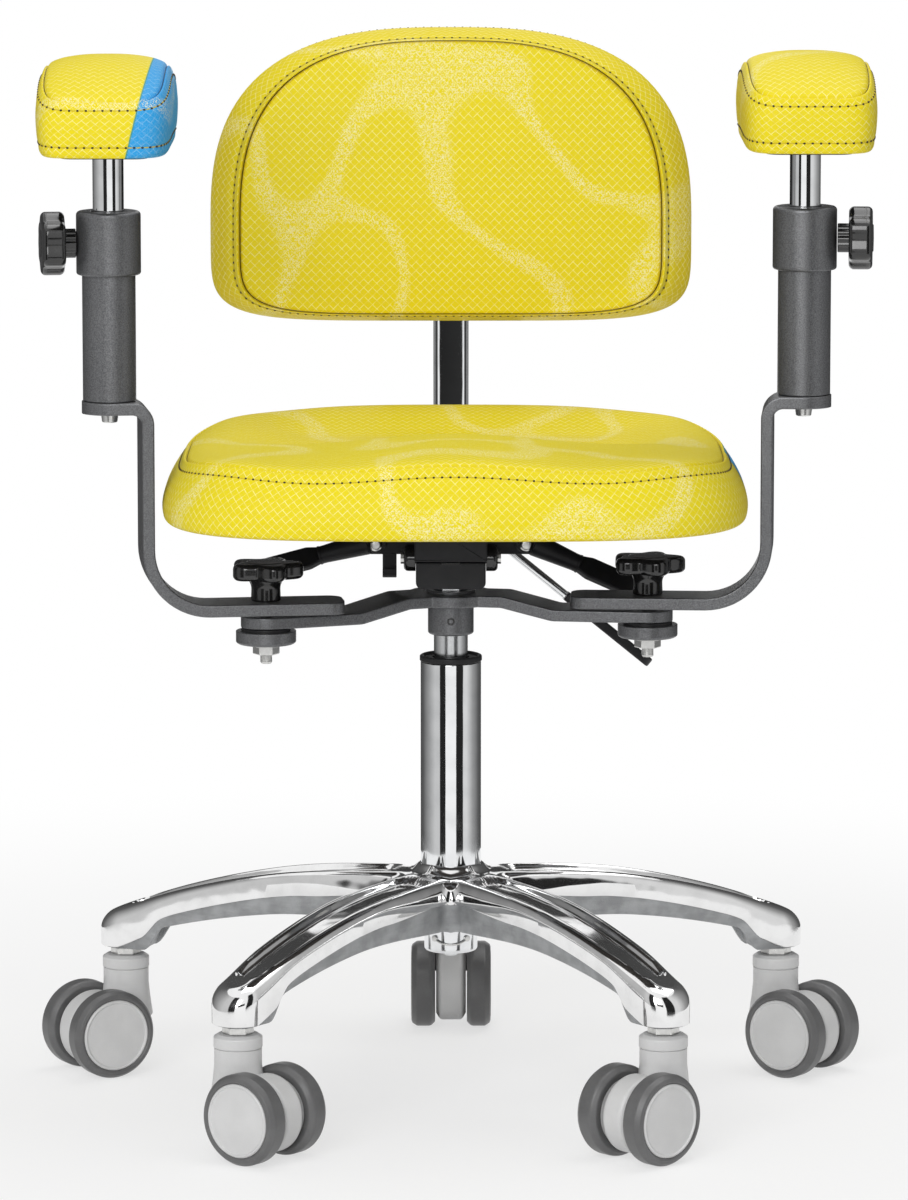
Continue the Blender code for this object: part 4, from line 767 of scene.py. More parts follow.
def bent_bar(corners: Path, half: float, thick: float, edge: float, ends: Pair,
             trim: float, step: float, out: Vector, side: Vector) -> Shape:
    """A flat bar with rounded ends that is bent in an upright plane.

    Args:
        corners: (distance out, height, radius) in order.
        half: its half width.
        thick: its thickness.
        edge: the rounding of its edges.
        ends: the corner radii at its start and end.
        trim: what the last radius gives up.
        step: about the distance between two sections.
        out: the plane's level direction.
        side: the direction across the bar.

    Returns:
        The bar.
    """
    path = rounded(corners, BEND_STEPS)
    steps = np.linalg.norm(np.diff(path, axis=0), axis=1)
    run = np.concatenate([[0.0], np.cumsum(steps)])
    length = float(steps.sum())
    start, stop = ends
    curve = 1 - np.cos(np.linspace(0.04, math.pi / 2, 12))
    middle = np.linspace(start, length - stop, max(2, int(length / step)))
    stations = np.concatenate([start * curve, middle[1:-1], (length - stop * curve)[::-1]])
    widths = np.full(len(stations), half)
    for gap, radius in ((stations, start), (length - stations, stop - trim)):
        inside = np.clip(radius - gap, 0.0, radius)
        widths = np.minimum(widths, half - radius + np.sqrt(np.maximum(radius**2 - inside**2, 1e-8)))

    def spots(shift: float) -> Array:
        """Points on the path at the stations, shifted along it."""
        flat = [np.interp(stations + shift, run, path[:, k]) for k in (0, 1)]
        return np.outer(flat[0], out) + np.outer(flat[1], UP)

    way = spots(0.0004) - spots(-0.0004)
    faces = np.cross(way / np.linalg.norm(way, axis=1, keepdims=True), side)
    return ribbon(spots(0.0), np.tile(side, (len(stations), 1)), faces, widths, widths, thick, edge)


def tube(spots: Sequence[Vector], radius: float, steps: int = 24) -> Shape:
    """A round bar along a path.

    Args:
        spots: points along its middle.
        radius: its radius.
        steps: sides of its section.

    Returns:
        The bar.
    """
    rows = []
    angle = np.linspace(0.0, 2 * math.pi, steps, endpoint=False)
    for i, spot in enumerate(spots):
        way = (spots[min(i + 1, len(spots) - 1)] - spots[max(i - 1, 0)]).normalized()
        side = way.cross(UP if abs(way.z) < STEEP else RIGHT).normalized()
        over = way.cross(side)
        ring = np.outer(np.cos(angle), np.array(side)) + np.outer(np.sin(angle), np.array(over))
        rows.append(np.array(spot) + radius * ring)
    return grid(np.array(rows), caps=True)


def aim(spot: Sequence[float], way: Vector, over: Vector | None = None) -> Matrix:
    """A transform that sends Z along a direction.

    Args:
        spot: where the origin goes.
        way: where Z goes.
        over: about where X goes.

    Returns:
        The transform.
    """
    z = way.normalized()
    hint = over if over is not None else (UP if abs(z.z) < STEEP else RIGHT)
    x = (hint - z * hint.dot(z)).normalized()
    y = z.cross(x)
    turn = Matrix((x, y, z)).transposed().to_4x4()
    return Matrix.Translation(spot) @ turn


def stand_up(rear: float, lift: float = 0.0) -> Matrix:
    """A transform that stands a flat form up, its low side at the rear and its plan seen from the front."""
    return Matrix(((1, 0, 0, 0), (0, 0, -1, rear), (0, 1, 0, lift), (0, 0, 0, 1)))


def middle_of(node: str) -> Vector:
    """The middle of a CAD node's box."""
    low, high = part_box(node)
    return (low + high) / 2


def linked(name: str, data: Any) -> bpy.types.Object:
    """Puts an object into the scene.

    Args:
        name: its name.
        data: its mesh, camera or lamp.

    Returns:
        The object.
    """
    made = bpy.data.objects.new(name, data)
    bpy.context.scene.collection.objects.link(made)
    return made


def settle(name: str, mesh: bpy.types.Mesh, finishes: Sequence[Finish], body: str,
           nodes: Sequence[str] = (), sharp_deg: float = 38.0) -> bpy.types.Object:
    """Makes a finished piece of a mesh.

    Args:
        name: the piece's name.
        mesh: its mesh, in place.
        finishes: its finishes, by number.
        body: the body it rides on.
        nodes: the CAD nodes it stands for.
        sharp_deg: the angle above which an edge stays sharp.

    Returns:
        The piece.
    """
    if not mesh.materials:
        for finish in finishes:
            mesh.materials.append(finish.material())
    mesh.shade_smooth()
    mesh.set_sharp_from_angle(angle=math.radians(sharp_deg))
    made = linked(name, mesh)
    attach(made, body)
    if nodes:
        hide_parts(*nodes)
    LOG.info("%s on %s: %d faces", name, body, len(mesh.polygons))
    return made


def piece(name: str, shape: Shape, finishes: Sequence[Finish], body: str,
          nodes: Sequence[str] = ()) -> bpy.types.Object:
    """Makes a finished piece of a shape."""
    return settle(name, shape.mesh(name), finishes, body, nodes)


# Geometry Nodes


class Repeat:
    """A Geometry Nodes tree that sets one bead at equal steps along a closed or open path."""

    INPUTS = (("Step", 0.0066), ("Shift", 0.0), ("Long", 0.004), ("Wide", 0.001), ("Tall", 0.001))

    def __init__(self) -> None:
        """Builds the tree with named inputs."""
        self.tree = bpy.data.node_groups.new("bead_row", "GeometryNodeTree")
        face = self.tree.interface
        face.new_socket("Geometry", in_out="INPUT", socket_type="NodeSocketGeometry")
        self.names = {}
        for name, value in self.INPUTS:
            socket = face.new_socket(name, in_out="INPUT", socket_type="NodeSocketFloat")
            socket.default_value = value
            self.names[name] = socket.identifier
        socket = face.new_socket("Finish", in_out="INPUT", socket_type="NodeSocketMaterial")
        self.names["Finish"] = socket.identifier
        face.new_socket("Geometry", in_out="OUTPUT", socket_type="NodeSocketGeometry")
        self.wire()

    def wire(self) -> None:
        """Adds the nodes from path to painted beads."""
        graph = Graph(self.tree)
        add = graph.node
        given = graph.tree.nodes.new("NodeGroupInput")
        sock = {name: Sock(graph, given.outputs[name]) for name in given.outputs.keys() if name}
        curve = add("GeometryNodeMeshToCurve", {}, {0: sock["Geometry"]})
        dots = add("GeometryNodeResampleCurve", {"mode": "LENGTH"}, {"Curve": curve, "Length": sock["Step"]})
        tangent = add("GeometryNodeInputTangent")
        turn = add("FunctionNodeAlignRotationToVector", {"axis": "X"}, {"Vector": tangent})
        bead = add("GeometryNodeMeshUVSphere", {}, {"Radius": 0.5, "Segments": 8, "Rings": 4})
        size = add("ShaderNodeCombineXYZ", {}, {"X": sock["Long"], "Y": sock["Wide"], "Z": sock["Tall"]})
        shift = add("ShaderNodeCombineXYZ", {}, {"X": sock["Shift"]})
        shaped = add("GeometryNodeTransform", {}, {"Geometry": bead, "Scale": size, "Translation": shift})
        row = add("GeometryNodeInstanceOnPoints", {}, {"Points": dots, "Instance": shaped, "Rotation": turn})
        real = add("GeometryNodeRealizeInstances", {}, {"Geometry": row})
        painted = add("GeometryNodeSetMaterial", {}, {"Geometry": real, "Material": sock["Finish"]})
        add("NodeGroupOutput", {}, {0: painted})

    def along(self, name: str, loops: Sequence[Array], closed: bool, finish: Finish, body: str,
              **sizes: float) -> bpy.types.Object:
        """Sets beads along paths and makes them one plain mesh.

        Args:
            name: the piece's name.
            loops: the paths' points.
            closed: joins each path's end to its start.
            finish: the beads' finish.
            body: the body the beads ride on.
            sizes: the tree's inputs, by lower-case name.

        Returns:
            The piece.
        """
        points, edges = [], []
        for loop in loops:
            start, count = len(points), len(loop)
            points += [tuple(p) for p in loop]
            edges += [(start + i, start + (i + 1) % count) for i in range(count if closed else count - 1)]
        path = bpy.data.meshes.new(name + "_path")
        path.from_pydata(points, edges, [])
        carrier = linked(name + "_path", path)
        modifier = carrier.modifiers.new("beads", "NODES")
        modifier.node_group = self.tree
        for key, value in sizes.items():
            modifier[self.names[key.capitalize()]] = value
        modifier[self.names["Finish"]] = finish.material()
        depsgraph = bpy.context.evaluated_depsgraph_get()
        mesh = bpy.data.meshes.new_from_object(carrier.evaluated_get(depsgraph))
        carrier.modifiers.remove(modifier)
        bpy.data.objects.remove(carrier)
        mesh.name = name
        return settle(name, mesh, [finish], body, sharp_deg=80.0)


# Soft covers


@dataclass
class Cover:
    """A sewn cover: a ring of edge levels round a panel, with a crease, a roll and a stitched seam.

    crease_rows holds (level, strength of its painted shade, half width) of each crease, and seam_rows the
    stitched levels.
    """

    name: str
    body: str
    node: str
    columns: int = 240
    middle: Triple = (0.0, 0.0, 0.0)
    half_w: float = 0.2
    half_l: float = 0.2
    low_power: float = 4.0
    high_power: float = 4.0
    fill: float = 0.8
    crease_rows: Creases = ()
    seam_rows: tuple[int, ...] = ()
    stitch_step: float = 0.0066
    stitch_long: float = 0.0046
    thread_d: float = 0.0011
    hole_long: float = 0.0022
    hole_d: float = 0.0018

    def __post_init__(self) -> None:
        """Spaces the columns evenly round the cover."""
        dense = np.linspace(0.0, 2 * math.pi, 6001)
        ring = self.oval(self.half_w, self.half_l, dense)
        run = np.concatenate([[0.0], np.cumsum(np.linalg.norm(np.diff(ring, axis=0), axis=1))])
        self.angles = np.interp(np.linspace(0.0, run[-1], self.columns, endpoint=False), run, dense)

    def oval(self, half_w: float, half_l: float, angle: Array) -> Array:
        """Points of a squared oval with one squareness below v = 0 and another above.

        Args:
            half_w: its half width.
            half_l: its half length.
            angle: the points' angles.

        Returns:
            The points.
        """
        flat = on_circle(angle)
        power = np.where(flat[:, 1:] > 0, self.high_power, self.low_power)
        return np.sign(flat) * np.abs(flat) ** (2 / power) * (half_w, half_l)

    def outline(self, inset: float) -> Array:
        """Points round the cover, drawn in by an inset."""
        return self.oval(self.half_w - inset, self.half_l - inset, self.angles)

    def height(self, u: Array, v: Array) -> Array:
        """The panel's height over the cover's floor."""
        raise NotImplementedError

    def levels(self) -> list[Triple]:
        """(inset, share of the height, lift) from the floor to the panel."""
        raise NotImplementedError

    def into_place(self, local: Array) -> Array:
        """Local (u, v, w) points in the chair's frame."""
        return local + np.array(self.middle)

    def path(self, fine: int = 7) -> Array:
        """The levels, with a smooth curve through them.

        Args:
            fine: steps between two levels.

        Returns:
            The finer levels.
        """
        knots = np.array(self.levels())
        ends = np.vstack([2 * knots[0] - knots[1], knots, 2 * knots[-1] - knots[-2]])
        made = []
        for i in range(1, len(ends) - 2):
            p0, p1, p2, p3 = ends[i - 1:i + 3]
            for t in np.linspace(0.0, 1.0, fine, endpoint=False):
                curve = 2 * p1 + (p2 - p0) * t + (2 * p0 - 5 * p1 + 4 * p2 - p3) * t**2
                made.append(0.5 * (curve + (3 * p1 - p0 - 3 * p2 + p3) * t**3))
        return np.array(made + [knots[-1]])

    def painted_crease_shade(self, ring: Array) -> Array:
        """How dark the painted crease shade is at each column."""
        return np.ones(len(ring))

    def accent(self, local: Array) -> Array:
        """Where the cool accents lie."""
        return np.zeros(len(local))

    def shade(self, local: Array) -> Array:
        """Where painted shade darkens the colour."""
        return np.zeros(len(local))

    def build(self, repeat: Repeat, fine: int = 7, panel_rings: int = 46) -> bpy.types.Object:
        """Makes the cover and its stitches.

        Args:
            repeat: the tree that sets the stitches.
            fine: rings between two knots.
            panel_rings: rings across the panel.

        Returns:
            The cover.
        """
        path = self.path(fine)
        rings = []
        for inset, share, lift in path:
            flat = self.outline(inset)
            rings.append(np.column_stack([flat, self.height(flat[:, 0], flat[:, 1]) * share + lift]))
        last = path[-1]
        base = self.outline(last[0])
        middle = base.mean(0)
        for share in np.linspace(1.0, 0.0, panel_rings + 1)[1:-1]:
            flat = middle + (base - middle) * share
            lift = last[2] * share + self.height(flat[:, 0], flat[:, 1]) * last[1]
            rings.append(np.column_stack([flat, lift]))
        local = np.array(rings)
        mesh = self.skin(local, max(row[0] for row in self.crease_rows) * fine)
        run = self.run_of(local)
        # The seam attribute is painted shade, a band round each crease
        seam = np.zeros(local.shape[:2])
        for knot, dark, width in self.crease_rows:
            band = hump(run - run[knot * fine], width)[:, None]
            seam = np.maximum(seam, band * dark * self.painted_crease_shade(local[knot * fine])[None, :])
        flat = local.reshape(-1, 3)
        # The shade attribute is painted shade at the sides and underneath
        marks = {"seam": seam.ravel(), "accent": self.accent(flat), "shade": self.shade(flat)}
        for name, values in marks.items():
            made = mesh.attributes.new(name, "FLOAT", "POINT")
            whole = np.concatenate([values, values[:1], values[-1:]])
            made.data.foreach_set("value", whole.astype(np.float32))
        cover = settle(self.name, mesh, [VINYL], self.body, [self.node], 180.0)
        cover.visible_glossy = False
        self.stitch(repeat, local, fine)
        return cover

    def run_of(self, local: Array) -> Array:
        """The mean distance of each ring from the first, along the cover."""
        steps = np.linalg.norm(np.diff(local, axis=0), axis=2).mean(1)
        return np.concatenate([[0.0], np.cumsum(steps)])

    def skin(self, local: Array, panel_from: int) -> bpy.types.Mesh:
        """The cover's mesh, with the print's UV in metres.

        Args:
            local: rings by columns by 3.
            panel_from: the first ring of the panel.

        Returns:
            The mesh.
        """
        count, width = local.shape[:2]
        floor, crown, last = count * width, count * width + 1, (count - 1) * width
        centres = np.array([local[0].mean(0), local[-1].mean(0)])
        points = self.into_place(np.vstack([local.reshape(-1, 3), centres]))
        belt = local[panel_from // 2]
        girth = np.linalg.norm(np.diff(np.vstack([belt, belt[:1]]), axis=0), axis=1)
        along = np.concatenate([[0.0], np.cumsum(girth)])
        border = np.stack(np.meshgrid(along, self.run_of(local)), 2)
        panel = np.concatenate([local, local[:, :1]], 1)[..., :2]
        foot, head = centres[:, :2]
        sides = [(j, (j + 1) % width) for j in range(width)]
        faces = [(floor, k, j) for j, k in sides] + grid(local).faces
        faces += [(last + j, last + k, crown) for j, k in sides]
        spots = []
        for j in range(width):
            spots += [foot, panel[0, j + 1], panel[0, j]]
        for i in range(count - 1):
            flat = panel if i >= panel_from else border
            for j in range(width):
                spots += [flat[i, j], flat[i, j + 1], flat[i + 1, j + 1], flat[i + 1, j]]
        for j in range(width):
            spots += [panel[-1, j], panel[-1, j + 1], head]
        mesh = bpy.data.meshes.new(self.name)
        mesh.from_pydata([tuple(p) for p in points], [], faces)
        layer = mesh.uv_layers.new(name="print")
        layer.data.foreach_set("uv", np.array(spots, dtype=np.float32).ravel())
        return mesh

    def stitch(self, repeat: Repeat, local: Array, fine: int) -> None:
        """Sews thread along the seams, with a bead of painted shade for each needle hole between the
        stitches.

        Args:
            repeat: the tree that sets them.
            local: rings by columns by 3.
            fine: rings between two knots.
        """
        loops = [self.into_place(local[knot * fine]) for knot in self.seam_rows]
        repeat.along(self.name + "_stitches", loops, True, THREAD, self.body, step=self.stitch_step,
                     shift=0.0, long=self.stitch_long, wide=self.thread_d, tall=self.thread_d)
        # Painted shade: a dark bead for each needle hole
        repeat.along(self.name + "_holes", loops, True, PAINTED_HOLE_SHADE, self.body, step=self.stitch_step,
                     shift=self.stitch_step / 2, long=self.hole_long, wide=self.hole_d, tall=self.hole_d)


@dataclass
class SeatCover(Cover):
    """The contoured seat: saddle front, thigh hollows, a crest and a rear bowl."""

    columns: int = 360
    crease_rows: Creases = ((17, 0.85, 0.0007),)
    seam_rows: tuple[int, ...] = (12,)
    middle: Triple = (0.0035, -0.008, 0.4889)
    half_w: float = 0.237
    half_l: float = 0.212
    low_power: float = 3.8
    high_power: float = 2.8
    side_h: float = 0.047
    front_rise: float = 0.008
    rear_rise: float = 0.015
    crown: float = 0.014
    pommel: float = 0.004
    thigh: float = 0.0035
    bowl: float = 0.018
    crest: float = -0.02
    crest_round: float = 0.0035
    board_inset: float = 0.0275

    def height(self, u: Array, v: Array) -> Array:
        """The sitting surface.

        Args:
            u: places across.
            v: places along.

        Returns:
            The heights there.
        """
        across, along = u / self.half_w, v / self.half_l
        edge = self.side_h + np.where(along < 0, self.front_rise, self.rear_rise) * along**2
        inside = np.maximum(0.0, 1.0 - np.sqrt(across**8 + along**8))
        front = 1 - ease(v, -0.01, 0.09)
        pommel = self.pommel * front * hump(u, 0.066)
        thigh = self.thigh * front * hump(np.abs(u) - 0.1185, 0.057)
        past = np.clip((v - self.crest) / self.crest_round, -40.0, 40.0)
        bowl = self.bowl * (1 - np.exp(-self.crest_round * np.log1p(np.exp(past)) / 0.026))
        bowl = bowl * (1 - ease(np.abs(u), 0.11, 0.195)) * (1 - ease(v, 0.1, 0.195))
        return edge + self.crown * inside + pommel - thigh - bowl

    def levels(self) -> list[Triple]:
        """Fold under the board, boxing, stitched seam, roll, crease, panel.

        Returns:
            (inset, share of the height, lift) of each level.
        """
        inner = self.board_inset
        return [
            (inner, 0.0, 0.0108), (inner, 0.0, 0.003), (inner - 0.0015, 0.0, 0.0012), (0.014, 0.0, 0.001),
            (0.006, 0.0, 0.001), (0.0018, 0.045, 0.0), (0.0, 0.12, 0.0), (-0.0006, 0.28, 0.0),
            (0.0012, 0.46, 0.0), (0.0048, 0.62, 0.0), (0.009, 0.755, 0.0), (0.0115, 0.815, 0.0),
            (0.0132, 0.85, -0.0006), (0.0146, 0.88, 0.0008), (0.0162, 0.912, 0.0019),
            (0.0178, 0.936, 0.0012), (0.0188, 0.948, -0.0009), (0.0194, 0.955, -0.0022),
            (0.0202, 0.962, -0.0007), (0.0222, 0.974, 0.0004), (0.031, 0.996, 0.0002), (0.045, 1.0, 0.0)]

    def painted_crease_shade(self, ring: Array) -> Array:
        """Painted crease shade, darker at the sides, ahead of the middle."""
        side = ease(np.abs(ring[:, 0]) / self.half_w, 0.76, 0.89)
        return 0.55 + 0.45 * side * (1 - ease(ring[:, 1], 0.0, 0.09))

    def accent(self, local: Array) -> Array:
        """A cool straight band up the right flank."""
        side = ease(local[:, 0] / self.half_w, 0.915, 0.945)
        return side * (1.0 - ease(np.abs(local[:, 1] - 0.03), 0.05, 0.056))

    def shade(self, local: Array) -> Array:
        """Painted shade, stronger at the sides and underneath."""
        side = ease(np.abs(local[:, 0]) / self.half_w, 0.93, 1.0)
        return np.maximum(0.35 * side, 0.5 * (1 - ease(local[:, 2], 0.0, 0.006)))


@dataclass
class BackCover(Cover):
    """The arched back: a sloping border, a piped and stitched seam and a crowned panel."""

    columns: int = 300
    crease_rows: Creases = ((15, 0.97, 0.0011), (10, 0.45, 0.0009))
    seam_rows: tuple[int, ...] = (10, 3)
    rear_y: float = 0.2349
    wide_z: float = 0.6984
    half_w: float = 0.204
    low_reach: float = 0.08
    arch: float = 0.169
    low_power: float = 5.5
    high_power: float = 2.75
    depth: float = 0.046
    crown: float = 0.01
    slopes: Triple = (0.034, 0.012, 0.012)

    def __post_init__(self) -> None:
        """Spaces the columns for the mean of both reaches."""
        self.half_l = (self.low_reach + self.arch) / 2
        super().__post_init__()

    def outline(self, inset: float) -> Array:
        """The back's face, drawn in by a share of its slopes.

        Args:
            inset: the share.

        Returns:
            The outline.
        """
        side, top, low = self.slopes
        flat = self.oval(self.half_w - side * inset, 1.0, self.angles)
        reach = np.where(flat[:, 1] > 0, self.arch - top * inset, self.low_reach - low * inset)
        return np.column_stack([flat[:, 0], flat[:, 1] * reach])

    def height(self, u: Array, v: Array) -> Array:
        """Depth, with a low crown.

        Args:
            u: places across.
            v: places along.

        Returns:
            The depths there.
        """
        middle = (self.arch - self.low_reach) / 2
        reach = (self.arch + self.low_reach) / 2 - 0.01
        far = (np.abs(u / (self.half_w - 0.03)) ** 3 + np.abs((v - middle) / reach) ** 3) ** (1 / 3)
        return self.depth + self.crown * np.maximum(0.0, 1.0 - far**2)

    def levels(self) -> list[Triple]:
        """Rear fold, side, sloping border, stitched seam, piping, crease, panel.

        Returns:
            (share of the slopes, share of the depth, lift) of each level.
        """
        return [
            (1.0, 0.0, 0.0), (0.55, 0.0, 0.0), (0.22, 0.015, 0.0), (0.05, 0.09, 0.0), (0.0, 0.19, 0.0),
            (0.03, 0.3, 0.0), (0.12, 0.44, 0.0), (0.27, 0.6, 0.0), (0.43, 0.745, 0.0), (0.55, 0.835, 0.0),
            (0.6, 0.868, -0.0008), (0.635, 0.895, 0.0012), (0.675, 0.925, 0.0034), (0.715, 0.945, 0.0026),
            (0.745, 0.95, -0.0016), (0.765, 0.955, -0.004), (0.79, 0.96, -0.0016), (0.83, 0.972, 0.0),
            (0.9, 0.988, 0.0), (1.0, 1.0, 0.0), (1.15, 1.0, 0.0)]

    def shade(self, local: Array) -> Array:
        """Painted shade, stronger on the sloping border."""
        side = ease(np.abs(local[:, 0]) / self.half_w, 0.8, 0.95)
        return (0.1 + 0.3 * side) * (1 - ease(local[:, 2], 0.03, 0.041))

    def into_place(self, local: Array) -> Array:
        """Onto the back board, facing the sitter."""
        return np.column_stack([local[:, 0], self.rear_y - local[:, 2], self.wide_z + local[:, 1]])


@dataclass
class PadCover(Cover):
    """An arm pad that arches from end to end, with a sewn top panel."""

    columns: int = 200
    crease_rows: Creases = ((16, 0.92, 0.0007),)
    seam_rows: tuple[int, ...] = (11, 5)
    half_w: float = 0.0535
    half_l: float = 0.11
    low_power: float = 5.5
    high_power: float = 5.5
    end_h: float = 0.04
    arch: float = 0.0235
    across: float = 0.0092

    def __post_init__(self) -> None:
        """Spaces the columns and finds the pad's place."""
        super().__post_init__()
        spot = middle_of(self.node)
        self.middle = (spot.x, spot.y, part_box(self.node)[0].z)
        self.outer = math.copysign(1.0, spot.x)

    def height(self, u: Array, v: Array) -> Array:
        """Low ends, high middle, a little crown across.

        Args:
            u: places across.
            v: places along.

        Returns:
            The heights there.
        """
        along = np.minimum(1.0, np.abs(v) / self.half_l)
        over = np.maximum(0.0, 1 - np.abs(u / self.half_w) ** 2.6)
        return self.end_h + self.arch * (1 - along**2) ** 1.35 + self.across * over * (1 - along**6)

    def levels(self) -> list[Triple]:
        """Underside, lower seam, boxing, upper seam, roll, crease, panel.

        Returns:
            (inset, share of the height, lift) of each level.
        """
        return [
            (0.0185, 0.0, 0.0003), (0.011, 0.0, -0.0016), (0.0048, 0.0, -0.0024), (0.002, 0.05, -0.0018),
            (0.0012, 0.115, -0.0008), (0.0012, 0.155, 0.0), (0.0002, 0.22, 0.0), (-0.0006, 0.4, 0.0),
            (-0.0008, 0.58, 0.0), (-0.0002, 0.73, 0.0), (0.0004, 0.83, 0.0), (0.0014, 0.88, -0.0005),
            (0.0024, 0.906, 0.0006), (0.0036, 0.932, 0.0014), (0.0048, 0.95, 0.0009),
            (0.0056, 0.96, -0.0008), (0.0061, 0.966, -0.002), (0.0068, 0.972, -0.0006),
            (0.009, 0.984, 0.0003), (0.016, 1.0, 0.0), (0.025, 1.0, 0.0)]

    def painted_crease_shade(self, ring: Array) -> Array:
        """Painted crease shade, dark along the sides, faint across the ends."""
        return 0.35 + 0.65 * ease(np.abs(ring[:, 0]) / self.half_w, 0.7, 0.8)

    def accent(self, local: Array) -> Array:
        """A cool inner end on the left pad only, with a straight slanted border."""
        border = 0.02 + 0.25 * local[:, 2]
        return (self.outer < 0) * ease(local[:, 0], border - 0.004, border + 0.004)

    def shade(self, local: Array) -> Array:
        """Painted shade, stronger down the sides."""
        return 0.35 * ease(np.abs(local[:, 0]) / self.half_w, 0.9, 1.0)


# Sub-assemblies


